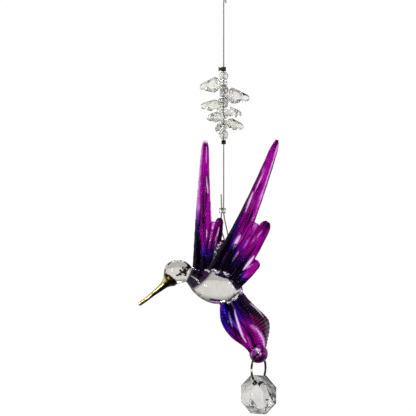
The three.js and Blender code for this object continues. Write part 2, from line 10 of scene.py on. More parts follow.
import bmesh
import bpy
import numpy as np
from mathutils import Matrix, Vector


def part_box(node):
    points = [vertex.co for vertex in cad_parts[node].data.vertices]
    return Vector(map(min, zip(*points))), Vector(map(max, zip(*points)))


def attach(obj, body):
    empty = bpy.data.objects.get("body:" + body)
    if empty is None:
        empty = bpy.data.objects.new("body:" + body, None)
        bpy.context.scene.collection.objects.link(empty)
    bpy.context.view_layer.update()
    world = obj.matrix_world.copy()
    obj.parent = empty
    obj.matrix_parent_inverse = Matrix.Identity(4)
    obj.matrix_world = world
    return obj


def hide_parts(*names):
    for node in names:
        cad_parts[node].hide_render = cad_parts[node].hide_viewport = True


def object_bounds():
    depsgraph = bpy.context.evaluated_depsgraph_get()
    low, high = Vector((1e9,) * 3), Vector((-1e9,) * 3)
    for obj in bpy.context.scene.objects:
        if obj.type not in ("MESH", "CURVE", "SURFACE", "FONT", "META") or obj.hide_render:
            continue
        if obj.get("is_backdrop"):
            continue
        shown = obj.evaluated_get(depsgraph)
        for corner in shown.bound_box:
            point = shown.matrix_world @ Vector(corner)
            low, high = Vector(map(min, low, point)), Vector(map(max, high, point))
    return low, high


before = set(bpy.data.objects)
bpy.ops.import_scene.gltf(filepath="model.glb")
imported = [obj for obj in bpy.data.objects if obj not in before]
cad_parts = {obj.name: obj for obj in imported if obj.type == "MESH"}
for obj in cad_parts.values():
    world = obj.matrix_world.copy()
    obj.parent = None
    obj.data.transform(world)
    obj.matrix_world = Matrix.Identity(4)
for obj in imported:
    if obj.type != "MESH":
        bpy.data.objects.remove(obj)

bl_info = {
    "name": "Glass Hummingbird Suncatcher",
    "version": (1, 0, 0),
    "blender": (4, 5, 0),
    "location": "View3D > Sidebar > Suncatcher",
    "description": "Builds a lampworked hummingbird, its beads, wire, ring and crystal",
    "category": "Object",
}

MM = 0.001
METAL_EDGE = 0.05 * MM

# Wire, and the space that touching pieces keep
WIRE_DIAMETER = 0.5
CLEARANCE = 0.3
CRIMP_WALL = 0.35
STRAND_PITCH = WIRE_DIAMETER + CLEARANCE
BORE_RADIUS = WIRE_DIAMETER / 2 + CLEARANCE
STRANDS = 6
WIRE_SLICES = 640
WIRE_SIDES = 24
# How round the strands are between their grooves, and how dark the wire is where it is rubbed
STRAND_ROUNDNESS = 0.6
RUBBED_SHADE = 0.55

# Along the hanging line
HANGING_LOOP_HEIGHT = 8.0
HANGING_LOOP_WIDTH = 6.0
TOP_CRIMP_HEIGHT = 2.0
BEAD_CRIMP_HEIGHT = 1.5
BEAD_CRIMP_WIDTH = 2.9
BEAD_CRIMP_OFFSET = 0.5
LOOP_CRIMP_HEIGHT = 1.9
BIRD_LOOP_HEIGHT = 13.5
BIRD_LOOP_WIDTH = 5.4
TOP_WIRE_TAIL = 2.0
BIRD_WIRE_TAIL = 5.0

# Beads: the round ones' diameter and height, and the drop beads' shared sizes
UPPER_BEAD = (3.7, 3.0)
LOWER_BEAD = (3.6, 3.2)
ROUND_BEAD_SIDES = 10
DROP_SIDES = 8
DROP_NECK_HEIGHT = 1.7
DROP_NECK_REACH = 1.15
DROP_BELLY_REACH = 3.2
DROP_TIP_DIAMETER = 2.1
DROP_TIP_ROUNDING = 0.4
# Heading round the wire in degrees from +X, reach, girth, and how far the tip droops
DROP_BEADS = [
    (180, 8.7, 5.8, 1.3),
    (272, 6.2, 3.2, 1.0),
    (354, 9.4, 5.9, 1.5),
    (92, 7.6, 3.8, 1.0),
    (181, 8.3, 4.5, 0.3),
    (335, 6.9, 3.9, 1.3),
    (213, 7.0, 3.9, 0.7),
    (6, 7.2, 4.3, 1.8),
    (251, 7.2, 4.0, 1.0),
]

# Bird
BODY_DIAMETER = 12.6
# How far out of the middle the wings are joined
SHOULDER = 0.33 * BODY_DIAMETER
HEAD_LENGTH = 10.4
HEAD_HEIGHT = 8.6
HEAD_WIDTH = 8.4
BEAK_LENGTH = 16.7
BEAK_TIP_DIAMETER = 1.4
BEAK_HEADING = 220
NEAR_WING_LENGTH = 51.9
FAR_WING_LENGTH = 49.1
WING_SPREAD = 11.5
WING_ROOT_THICKNESS = 3.2
WING_TIP_THICKNESS = 1.9
TAIL_LENGTH = 26.4
TAIL_WIDTH = 15.8
TAIL_THICKNESS = 2.3
TAIL_FOLD_DEPTH = 1.5
TAIL_SWAY = 1.2
TAIL_HEADING = -65
# How deep the tail's root sits in the body, and the leaf's width there, as shares of the full ones
TAIL_SUNK = 0.16
TAIL_ROOT_WIDTH = 0.44
# Where along it the tail is widest, its turn at the root and its twist from there on, in radians
TAIL_WIDEST = 0.6
TAIL_ROOT_TURN = -0.32
TAIL_TWIST = 0.82
TAIL_EYE_BORE = 2.6
TAIL_EYE_WALL = 2.1
TAIL_END_THICKNESS = 4.0
HANGING_EYE_ROD = 2.5
HANGING_EYE_OPENING = 4.4
EYE_CROWN_ABOVE_BODY = 16.0
EYE_CROWN_BEHIND_BODY = 3.2

# Jump ring and crystal
RING_OUTER_DIAMETER = 11.2
RING_WIRE = 0.8
RING_RADIUS = (RING_OUTER_DIAMETER - RING_WIRE) / 2
RING_TURN = 59
RING_SEAM = math.radians(118)
CRYSTAL_SIDES = 8
# Where the kite facets meet: out from the crystal's middle, and between its table and its edge
CRYSTAL_BELT_OUT = 0.3125
CRYSTAL_BELT = 0.49
# Width of the crystal's softened edges, in widths of a bead's
CRYSTAL_ARRIS = 1.4
CRYSTAL_HEIGHT = 14.0
CRYSTAL_THICKNESS = 6.4
CRYSTAL_TABLE = 7.6
CRYSTAL_EDGE = 1.2
CRYSTAL_TOP_WALL = 1.5

X, Y, Z = np.eye(3)
LATERAL = -Y


def linear(colour):
    """An sRGB hex colour as linear red, green and blue."""
    parts = [int(colour[i : i + 2], 16) / 255 for i in (1, 3, 5)]
    return tuple(p / 12.92 if p <= 0.04045 else ((p + 0.055) / 1.055) ** 2.4 for p in parts)


def opaque(colour):
    """A hex or linear colour with full alpha, as sockets and colour ramps take it."""
    return (*(linear(colour) if isinstance(colour, str) else colour), 1.0)


def vec(x, y, z):
    return np.array([x, y, z], float)


def turned(degrees, towards):
    """The way that +X points when it is turned towards another axis, and the way square to it."""
    turn = math.radians(degrees)
    cos, sin = math.cos(turn), math.sin(turn)
    return cos * X + sin * towards, cos * towards - sin * X


def read_all(items, name, width=1, kind=float):
    """One property of all of a mesh's items, as rows of numbers."""
    flat = np.empty(len(items) * width, kind)
    items.foreach_get(name, flat)
    return flat.reshape(-1, width)


def corners(sides, shift=0):
    """The turns of an even polygon's corners, shifted by a share of a side."""
    return (np.arange(sides) + shift) / sides * 2 * np.pi


def smooth(t):
    t = np.clip(t, 0, 1)
    return t * t * (3 - 2 * t)


def rises(value, start, over):
    """From 0 to 1 as a value goes up from its start, over so much of it."""
    return smooth((value - start) / over)


def middle(node):
    """The middle of a solid's box, in millimetres."""
    low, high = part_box(node)
    return np.array((low + high) / 2) / MM


def gone_along(path):
    """How far each of a path's points lies along it."""
    return np.concatenate([[0], np.cumsum(np.linalg.norm(np.diff(path, axis=0), axis=1))])


def smooth_path(points, count):
    """A smooth path through given points, as so many points an even distance apart."""
    points = np.asarray(points, float)
    first = 2 * points[0] - points[1]
    last = 2 * points[-1] - points[-2]
    p = np.vstack([first, points, last])
    steps = np.linspace(0, 1, 24, endpoint=False)[:, None]
    pieces = []
    for a, b, c, d in zip(p, p[1:], p[2:], p[3:]):
        ab, bc, cd = (np.sqrt(np.linalg.norm(w)) for w in (b - a, c - b, d - c))
        start = ((b - a) / ab - (c - a) / (ab + bc) + (c - b) / bc) * bc
        end = ((c - b) / bc - (d - b) / (bc + cd) + (d - c) / cd) * bc
        square = 3 * (c - b) - 2 * start - end
        cube = 2 * (b - c) + start + end
        pieces.append(b + start * steps + square * steps**2 + cube * steps**3)
    fine = np.vstack(pieces + [points[-1]])
    gone = gone_along(fine)
    even = np.linspace(0, gone[-1], count)
    return np.stack([np.interp(even, gone, fine[:, i]) for i in range(3)], axis=1)


def smooth_rows(rows, count):
    """Rows of numbers, eased into so many rows."""
    rows = np.asarray(rows, float)
    p = np.vstack([2 * rows[0] - rows[1], rows, 2 * rows[-1] - rows[-2]])
    at = np.linspace(0, len(rows) - 1, count)
    i = np.minimum(at.astype(int), len(rows) - 2)
    t = (at - i)[:, None]
    a, b, c, d = p[i], p[i + 1], p[i + 2], p[i + 3]
    start, end = (c - a) / 2, (d - b) / 2
    return b + start * t + (3 * (c - b) - 2 * start - end) * t**2 + (2 * (b - c) + start + end) * t**3


def unit(vectors):
    return vectors / np.linalg.norm(vectors, axis=-1, keepdims=True)


def headings(path):
    """The way that a path runs at each of its points."""
    return unit(np.gradient(path, axis=0))


def run_of(at, across, through, half, deep, outline=None):
    """A run of slices: middles, two directions each, half sizes along them, and an outline."""
    count = len(at)
    spread = lambda value: np.broadcast_to(np.asarray(value, float), (count, 3))
    level = lambda value: np.broadcast_to(np.asarray(value, float), (count,))
    return {
        "at": at,
        "across": spread(across),
        "through": spread(through),
        "half": level(half),
        "deep": level(deep),
        "outline": outline or (lambda turn, t: (np.cos(turn), np.sin(turn))),
    }


def rings_of(run, sides):
    """The run's slices as rings of points."""
    count = len(run["at"])
    turn = np.linspace(0, 2 * np.pi, sides, endpoint=False)[None, :]
    t = np.linspace(0, 1, count)[:, None]
    u, v = run["outline"](turn + 0 * t, t + 0 * turn)
    out = (u * run["half"][:, None])[..., None] * run["across"][:, None, :]
    up = (v * run["deep"][:, None])[..., None] * run["through"][:, None, :]
    return run["at"][:, None, :] + out + up


def faceted_rings(slices, sides, across, through):
    """Rings of corners from slices: a middle, two half sizes and a shift by a share of a side."""
    rings = []
    for at, half, deep, shift in slices:
        turn = corners(sides, shift)[:, None]
        rings.append(at + np.cos(turn) * half * across + np.sin(turn) * deep * through)
    return np.array(rings)


def ring_faces(count, sides, looped=False):
    """Four-cornered faces between so many rings, the last joined to the first if looped."""
    i = np.arange(count if looped else count - 1)[:, None]
    j = np.arange(sides)[None, :]
    k, n = (j + 1) % sides, (i + 1) % count
    around = [i * sides + j, i * sides + k, n * sides + k, n * sides + j]
    return np.stack([c + 0 * i + 0 * j for c in around], axis=-1).reshape(-1, 4).tolist()


def closed_skin(rings):
    """Points and faces of a closed skin over rings, with a fan at both ends."""
    count, sides = rings.shape[:2]
    points = np.vstack([rings.reshape(-1, 3), rings[0].mean(0), rings[-1].mean(0)])
    faces = ring_faces(count, sides)
    foot, last = count * sides, (count - 1) * sides
    for j in range(sides):
        k = (j + 1) % sides
        faces.append([foot, k, j])
        faces.append([foot + 1, last + j, last + k])
    return points, faces


def looped_skin(rings):
    """Points and faces of a skin that runs over rings and back into the first one."""
    return rings.reshape(-1, 3), ring_faces(*rings.shape[:2], looped=True)


def joined(skins):
    """Several skins as one set of points and faces."""
    points, faces, base = [], [], 0
    for some_points, some_faces in skins:
        points.append(some_points)
        faces += [[base + corner for corner in face] for face in some_faces]
        base += len(some_points)
    return np.vstack(points), faces


def swept(path, radius, sides, relief=None):
    """Rings along a path. A relief function gives a share of the radius from turn and distance."""
    along = headings(path)
    side = unit(np.cross(along[0], Y if abs(along[0][1]) < 0.9 else X))
    turn = np.linspace(0, 2 * np.pi, sides, endpoint=False)
    rings = []
    for middle_point, forward, distance in zip(path, along, gone_along(path)):
        side = unit(side - forward * side.dot(forward))
        other = np.cross(forward, side)
        share = relief(turn, distance) if relief else np.ones(sides)
        offset = np.cos(turn)[:, None] * side + np.sin(turn)[:, None] * other
        rings.append(middle_point + offset * (share * radius)[:, None])
    return np.array(rings)


def mesh_of(name, points, faces, scale=MM):
    mesh = bpy.data.meshes.new(name)
    mesh.from_pydata((points * scale).tolist(), [], faces)
    mesh.validate()
    tidy = bmesh.new()
    tidy.from_mesh(mesh)
    bmesh.ops.recalc_face_normals(tidy, faces=tidy.faces)
    tidy.to_mesh(mesh)
    tidy.free()
    return mesh


def with_modifiers(item):
    """The mesh that an object's modifiers make, with the object itself taken away."""
    bpy.context.view_layer.update()
    evaluated = item.evaluated_get(bpy.context.evaluated_depsgraph_get())
    mesh = bpy.data.meshes.new_from_object(evaluated)
    bpy.data.objects.remove(item)
    return mesh


def loose_object(name, mesh):
    item = bpy.data.objects.new(name, mesh)
    bpy.context.scene.collection.objects.link(item)
    return item


def cut(mesh, tool_mesh):
    """A mesh with another one taken out of it."""
    item = loose_object("cut_piece", mesh)
    tool = loose_object("cut_tool", tool_mesh)
    change = item.modifiers.new("Cut", "BOOLEAN")
    change.operation = "DIFFERENCE"
    change.solver = "MANIFOLD"
    change.object = tool
    made = with_modifiers(item)
    bpy.data.objects.remove(tool)
    return made


def drill(place, way, reach, radius, sides, scale=MM):
    """A straight drill through a place, reaching as far to both its sides."""
    path = np.array([place + way * out for out in (-reach, 0, reach)])
    return mesh_of("drill", *closed_skin(swept(path, radius, sides)), scale=scale)


def edged(mesh, width, segments=2, angle=12):
    """A mesh with its sharp edges softened by a narrow bevel."""
    item = loose_object("edged_piece", mesh)
    change = item.modifiers.new("Soft edges", "BEVEL")
    change.width = width
    change.segments = segments
    change.limit_method = "ANGLE"
    change.angle_limit = math.radians(angle)
    change.use_clamp_overlap = True
    return with_modifiers(item)


def piece(name, mesh, materials, nodes, shade_smooth=True):
    """Links a piece, gives it its materials, and stands it in for its CAD nodes."""
    item = loose_object(name, mesh)
    mesh.name = name
    while mesh.materials:
        mesh.materials.pop()
    for material in materials:
        mesh.materials.append(material)
    mesh.polygons.foreach_set("use_smooth", [shade_smooth] * len(mesh.polygons))
    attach(item, "root")
    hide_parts(*nodes)
    return item


# A colour mix's sockets: its share, its two colours and its result
SHARE, FIRST, SECOND, RESULT = 0, 6, 7, 2
MIXED = {"data_type": "RGBA"}
MULTIPLIED = {"data_type": "RGBA", "blend_type": "MULTIPLY"}
TIMES_PLUS = {"operation": "MULTIPLY_ADD"}


def add_node(tree, kind, inputs=None, stops=None, **settings):
    """Adds a node with its settings, its input values or links, and a colour ramp's stops."""
    made = tree.nodes.new("ShaderNode" + kind)
    for name, value in settings.items():
        setattr(made, name, value)
    for name, value in (inputs or {}).items():
        socket = made.inputs[name]
        if isinstance(value, bpy.types.NodeSocket):
            tree.links.new(value, socket)
        else:
            socket.default_value = opaque(value) if socket.type == "RGBA" else value
    if stops:
        elements = made.color_ramp.elements
        while len(elements) < len(stops):
            elements.new(1.0)
        for element, (position, colour) in zip(elements, stops):
            element.position = position
            element.color = opaque(colour)
    return made


def start_material(name):
    """A material without nodes, and the function that adds nodes to it."""
    material = bpy.data.materials.new(name)
    material.use_nodes = True
    material.node_tree.nodes.clear()
    return material, partial(add_node, material.node_tree)


def finish_material(material, **inputs):
    """Gives a material its one shader, with plain values and links on the shader's own sockets."""
    add = partial(add_node, material.node_tree)
    named = {label.replace("_", " "): value for label, value in inputs.items()}
    shader = add("BsdfPrincipled", named)
    add("OutputMaterial", {"Surface": shader.outputs["BSDF"]})
    return material


def blotches(add, per_metre, detail, **more):
    """Soft blotches fixed on the piece, so many to a metre."""
    place = add("TexCoord").outputs["Object"]
    return add("TexNoise", {"Vector": place, "Scale": per_metre, "Detail": detail, **more})


def mottle(add, per_metre, detail, stops, **more):
    """Blotches, and the colours that they run through."""
    noise = blotches(add, per_metre, detail, **more)
    return noise, add("ValToRGB", {"Fac": noise.outputs["Fac"]}, stops)


def length_setting(name, description, millimetres):
    return bpy.props.FloatProperty(
        name=name, description=description, default=millimetres * MM, unit="LENGTH"
    )


def share_setting(name, description, share):
    return bpy.props.FloatProperty(
        name=name, description=description, default=share, subtype="FACTOR"
    )


def colour_setting(name, description, colour):
    return bpy.props.FloatVectorProperty(
        name=name, description=description, default=linear(colour), subtype="COLOR"
    )


class SuncatcherGlass(bpy.types.PropertyGroup):
    """Sizes and colours of the torch-worked bird."""

    skin_step: length_setting("Skin step", "How finely the fused glass is meshed", 0.26)
    flute_relief: share_setting(
        "Flute relief", "How strongly the lengthwise flutes swell and thin a wing", 0.3
    )
    ridge_pitch: length_setting(
        "Ridge pitch", "Spacing of the fine cross ridges that the tool pressed into the tail", 0.9
    )
    ridge_height: length_setting("Ridge height", "Height of the tail's cross ridges", 0.09)
    magenta: colour_setting("Magenta", "Colour of the wings where the glass is thin", "#A00496")
    violet: colour_setting(
        "Blue violet", "Colour between the magenta and the dark roots", "#260CA2"
    )
    root_blue: colour_setting("Root blue", "Near-black blue of the thick wing roots", "#040212")
    clear: colour_setting("Clear glass", "Faint warm grey of the clear glass", "#D4D2CC")
    gilt: colour_setting("Gilt", "Gold lustre fired on the beak", "#CABF88")


class SuncatcherMetal(bpy.types.PropertyGroup):
    """Sizes and colours of the wire, crimps and jump ring."""

    lay_length: length_setting(
        "Lay length", "Distance in which one strand of the beading wire goes once round it", 3.2
    )
    strand_relief: share_setting(
        "Strand relief", "Depth of the grooves between strands, in radii of the wire", 0.14
    )
    wire_grey: colour_setting("Wire grey", "Colour of the coated beading wire", "#767774")
    ring_gap: length_setting("Ring seam", "Width of the seam where the jump ring's ends meet", 0.1)


class SuncatcherCrystal(bpy.types.PropertyGroup):
    """Sizes and colours of the faceted beads and the octagon crystal."""

    arris: length_setting("Arris width", "Width of the polished edge between two facets", 0.07)
    body_grey: colour_setting("Crystal grey", "Faint grey of the cut crystal", "#F4F4F0")


class SuncatcherStudio(bpy.types.PropertyGroup):
    """The plain studio that the suncatcher hangs in."""

    floor_drop: length_setting("Floor drop", "How far the floor lies below the crystal", 65)
    floor_radius: length_setting("Floor radius", "Radius of the pale round floor", 380)
    camera_distance: length_setting(
        "Camera distance", "How far the camera stands from the wire", 600
    )


# The photograph's frame at the wire: its width, and where its middle is
PHOTO_WIDTH = 151.4
PHOTO_MIDDLE = (-5.7, -86.6)
SENSOR_WIDTH = 36.0


def area_light(name, place, aim, size, power, colour):
    lamp = bpy.data.lights.new(name, "AREA")
    lamp.shape = "RECTANGLE"
    lamp.size, lamp.size_y = (side * MM for side in size)
    lamp.energy = power
    lamp.color = colour
    item = loose_object(name, lamp)
    item.location = Vector(place) * MM
    item.rotation_euler = (Vector(aim) - Vector(place)).to_track_quat("-Z", "Y").to_euler()
    return item


def floor_paper():
    """Matt background paper, made by coating: it gives a pale floor with a faint fibre mottle, drawn
    coarser than real fibres so that it shows."""
    material, add = start_material("Matt_coated_paper")
    _, tone = mottle(add, 260, 4.0, [(0.3, "#EDEDEB"), (0.7, "#F6F6F4")])
    return finish_material(material, Roughness=0.85, Base_Color=tone.outputs["Color"])


def place_camera(scene, distance):
    """A level camera whose frame, at the wire, is the photograph's."""
    camera = loose_object("Camera", bpy.data.cameras.new("Camera"))
    camera.location = (PHOTO_MIDDLE[0] * MM, -distance, PHOTO_MIDDLE[1] * MM)
    camera.rotation_euler = (math.radians(90), 0, 0)
    camera.data.sensor_width = SENSOR_WIDTH
    camera.data.lens = SENSOR_WIDTH * distance / (PHOTO_WIDTH * MM)
    camera.data.clip_start = 0.01
    scene.camera = camera


def pale_surroundings():
    """A world that is white round the horizon and darker overhead, which gives clear glass its dark
    lines."""
    world = bpy.data.worlds.new("Pale_surroundings")
    world.use_nodes = True
    world.node_tree.nodes.clear()
    add = partial(add_node, world.node_tree)
    way = add("TexCoord")
    split = add("SeparateXYZ", {"Vector": way.outputs["Generated"]})
    height = add("Math", {0: split.outputs["Z"], 1: 0.5, 2: 0.5}, **TIMES_PLUS)
    stops = [
        (0.0, "#C8C8C8"),
        (0.3, "#D8D8D8"),
        (0.4, "#FFFFFF"),
        (0.66, "#FFFFFF"),
        (0.8, "#A8A8AA"),
        (0.91, "#606064"),
        (0.965, "#2C2C30"),
        (1.0, "#8A8A8A"),
    ]
    tone = add("ValToRGB", {"Fac": height.outputs[0]}, stops)
    sky = add("Background", {"Color": tone.outputs["Color"], "Strength": 1.02})
    add("OutputWorld", {"Surface": sky.outputs["Background"]})
    return world


def lay_floor(studio):
    """A pale round floor, well below the crystal."""
    low = min(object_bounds()[0][2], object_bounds()[1][2])
    mesh = bpy.data.meshes.new("Floor")
    disc = bmesh.new()
    bmesh.ops.create_circle(disc, cap_ends=True, segments=96, radius=studio.floor_radius)
    disc.to_mesh(mesh)
    disc.free()
    mesh.materials.append(floor_paper())
    floor = loose_object("Floor", mesh)
    floor.location.z = low - studio.floor_drop
    floor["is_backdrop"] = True


class BuildStudio(bpy.types.Operator):
    """Sets the camera, the soft lights, the pale surroundings and the floor."""

    bl_idname = "suncatcher.studio"
    bl_label = "Studio"

    def execute(self, context):
        scene = context.scene
        place_camera(scene, scene.suncatcher_studio.camera_distance)
        scene.view_settings.view_transform = "Standard"
        aim = (0, 0, -100)
        warm, cool = linear("#FFFBF2"), linear("#F4F7FF")
        area_light("Key_strip", (-420, -480, 60), aim, size=(70, 420), power=2.2, colour=warm)
        area_light("Fill_strip", (520, -260, 20), aim, size=(60, 420), power=1.3, colour=cool)
        area_light("Back_strip", (0, 500, 420), aim, size=(420, 70), power=1.6, colour=cool)
        scene.world = pale_surroundings()
        lay_floor(scene.suncatcher_studio)
        return {"FINISHED"}


# The hanging loop, from the short end's side over its crown: half widths, and loop heights down
HANGING_LOOP = [
    (0.8, 0.775),
    (1, 0.425),
    (0.7, 0.1125),
    (0, 0),
    (-0.7, 0.1125),
    (-1, 0.425),
    (-0.6, 0.775),
]

# The loop at the bird, round through its hanging eye and back: loop widths to the right, half widths
# away from the viewer, and loop heights down
BIRD_LOOP = [
    (0.074, -0.444, 0.26),
    (0.25, -1, 0.593),
    (0.296, -0.963, 0.815),
    (0.222, -0.519, 0.963),
    (0.148, 0, 1),
    (0.111, 0.556, 0.956),
    (0.056, 1, 0.793),
    (-0.093, 1, 0.593),
    (-0.167, 0.481, 0.26),
]
WIRE_FOOT_X = 0.148 * BIRD_LOOP_WIDTH


def wire_points():
    """The wire's route through its crimps and beads, in millimetres."""
    radius = WIRE_DIAMETER / 2
    top, upper, lower, loop = (
        middle(node)[2]
        for node in ("top_loop_crimp", "upper_bead_crimp", "lower_bead_crimp", "bird_loop_crimp")
    )
    through_top = top + 0.3 * TOP_CRIMP_HEIGHT
    through_loop = loop - 0.3 * LOOP_CRIMP_HEIGHT
    last_end = loop + LOOP_CRIMP_HEIGHT / 2
    hanging_loop = [
        (half * HANGING_LOOP_WIDTH / 2, 0, radius - down * (HANGING_LOOP_HEIGHT + radius))
        for half, down in HANGING_LOOP
    ]
    bird_loop = [
        (right * BIRD_LOOP_WIDTH, back * BIRD_LOOP_WIDTH / 2, loop - down * BIRD_LOOP_HEIGHT)
        for right, back, down in BIRD_LOOP
    ]
    return [
        (STRAND_PITCH, 0, top - TOP_CRIMP_HEIGHT / 2 - TOP_WIRE_TAIL),
        (STRAND_PITCH, 0, through_top),
        *hanging_loop,
        (0, 0, through_top),
        (0, 0, top - 2 * TOP_CRIMP_HEIGHT),
        (0, 0, upper),
        (0, 0, (2 * upper + lower) / 3),
        (0, 0, (upper + 2 * lower) / 3),
        (0, 0, lower),
        (0, 0, loop + 3 * LOOP_CRIMP_HEIGHT),
        (0, 0, through_loop),
        *bird_loop,
        (-STRAND_PITCH, 0, through_loop),
        (-STRAND_PITCH, 0, last_end + 0.2 * BIRD_WIRE_TAIL),
        (-STRAND_PITCH - radius / 2, radius, last_end + BIRD_WIRE_TAIL),
    ]


def coated_steel_wire(metal):
    """Nylon-coated stranded steel: dull grey strands under a thin clear coat with a soft gloss."""
    material, add = start_material("Coated_stranded_steel")
    dull = [channel * RUBBED_SHADE for channel in metal.wire_grey]
    _, tone = mottle(add, 1800, 3.0, [(0.35, dull), (0.6, metal.wire_grey)])
    return finish_material(
        material,
        Base_Color=tone.outputs["Color"],
        Metallic=0.5,
        Roughness=0.45,
        Coat_Weight=0.2,
        Coat_Roughness=0.25,
    )


class BuildWire(bpy.types.Operator):
    """Lays the one length of beading wire from its hanging loop to the loop at the bird."""

    bl_idname = "suncatcher.wire"
    bl_label = "Beading Wire"

    def execute(self, context):
        metal = context.scene.suncatcher_metal
        path = smooth_path(wire_points(), WIRE_SLICES)

        def lay(turn, distance):
            swing = turn - 2 * math.pi * distance * MM / metal.lay_length
            groove = np.abs(np.cos(swing * STRANDS / 2)) ** STRAND_ROUNDNESS
            return 1 - metal.strand_relief * (1 - groove)

        rings = swept(path, WIRE_DIAMETER / 2, WIRE_SIDES, lay)
        mesh = mesh_of("hanging_wire_strands", *closed_skin(rings))
        material = coated_steel_wire(metal)
        item = piece("hanging_wire_strands", mesh, [material], ["hanging_wire"])
        return {"FINISHED"}


# The plier's pinch in the flattened crimp, in millimetres from its middle
PINCH_OFFSET = 0.72
PINCH_WIDTH = 0.28
# A crimp's outside, from its foot to its middle: shares of its height and of its thickness
CRIMP_WAIST = [(-0.5, 0.84), (-0.46, 0.92), (-0.3, 0.98), (-0.12, 0.9), (0, 0.86)]
CRIMP_SIDES = 72
CRIMP_BORE_SHARE = 0.96
# Height, width if it is pressed flat, strands in it, where its bore lies, and how far it is pinched
CRIMPS = {
    "top_loop_crimp": (TOP_CRIMP_HEIGHT, 0, 2, 0, 0),
    "bird_loop_crimp": (LOOP_CRIMP_HEIGHT, 0, 2, 0, 0),
    "upper_bead_crimp": (BEAD_CRIMP_HEIGHT, BEAD_CRIMP_WIDTH, 1, BEAD_CRIMP_OFFSET, 0.46),
    "lower_bead_crimp": (BEAD_CRIMP_HEIGHT, 0, 1, 0, 0),
}


def plated_metal(name, per_metre, detail, stops, unevenness, polish, dents=0.0):
    """Plated metal whose blotches are rougher where they are bright: wear on the crimps, and painted
    highlights and dark reflections on the jump ring.
    """
    material, add = start_material(name)
    noise, tone = mottle(add, per_metre, detail, stops)
    gloss = add("Math", {0: noise.outputs["Fac"], 1: unevenness, 2: polish}, **TIMES_PLUS)
    links = {"Base_Color": tone.outputs["Color"], "Roughness": gloss.outputs[0]}
    if dents:
        relief = {"Height": noise.outputs["Fac"], "Distance": dents * MM, "Strength": 0.5}
        links["Normal"] = add("Bump", relief).outputs["Normal"]
    return finish_material(material, Metallic=1.0, **links)


def pressed_brass(name, light, dark, polish):
    """Plated brass crimp, cut from tube and pressed: plier marks and tarnish in its hollows."""
    stops = [(0.35, dark), (0.62, light)]
    return plated_metal(name, 900, 5.0, stops, unevenness=0.3, polish=polish, dents=0.04)


def crimp_rings(centre, height, width, strands, offset, pinch):
    """Rings that run up a pressed crimp's outside and back down its hole."""
    deep = BORE_RADIUS + CRIMP_WALL
    reach = (strands - 1) * STRAND_PITCH / 2
    straight = max(width / 2 - deep, reach)
    turn = corners(CRIMP_SIDES)
    side, bore = np.tanh(np.cos(turn) * 3), BORE_RADIUS * CRIMP_BORE_SHARE

    def ring(out, back, level):
        return centre + np.stack([out, back, level * height + 0 * turn], axis=1)

    outside = []
    for level, share in CRIMP_WAIST + [(-level, share) for level, share in CRIMP_WAIST[-2::-1]]:
        out = side * straight + np.cos(turn) * deep * share
        flat = 1 - 0.7 * pinch * rises(-out, 0.1, 0.5)
        outside.append(ring(out, np.sin(turn) * deep * share * flat, level))
    out = offset + side * reach + np.cos(turn) * bore
    inside = [ring(out, np.sin(turn) * bore, level) for level in (0.5, 0.0, -0.5)]
    caps = [
        [start + (end - start) * way for way in (0.2, 0.4, 0.6, 0.8)]
        for start, end in ((outside[-1], inside[0]), (inside[-1], outside[0]))
    ]
    rings = np.array(outside + caps[0] + inside + caps[1])
    out, up = rings[..., 0] - centre[0], rings[..., 2] - centre[2]
    squeeze = 1 - pinch * np.exp(-(((out + PINCH_OFFSET) / PINCH_WIDTH) ** 2))
    rings[..., 2] = centre[2] + up * squeeze
    return rings


class BuildCrimps(bpy.types.Operator):
    """Presses the four crimps over the wire."""

    bl_idname = "suncatcher.crimps"
    bl_label = "Crimps"

    def execute(self, context):
        bright = pressed_brass("Bright_plated_brass", "#C8C8C0", "#3E3E3A", polish=0.14)
        dark = pressed_brass("Blackened_plated_brass", "#38362E", "#0A0908", polish=0.2)
        for node, sizes in CRIMPS.items():
            bead_crimp = "bead" in node
            rings = crimp_rings(middle(node), *sizes)
            mesh = edged(mesh_of(node, *looped_skin(rings)), METAL_EDGE, angle=40)
            piece(f"{node}_pressed", mesh, [dark if bead_crimp else bright], [node])
        return {"FINISHED"}


# The way that the crystals' facets with painted shade face: facets turned to the right and up are
# painted darker
PAINTED_SHADE_WAY = (0.8, 0.0, 0.6)


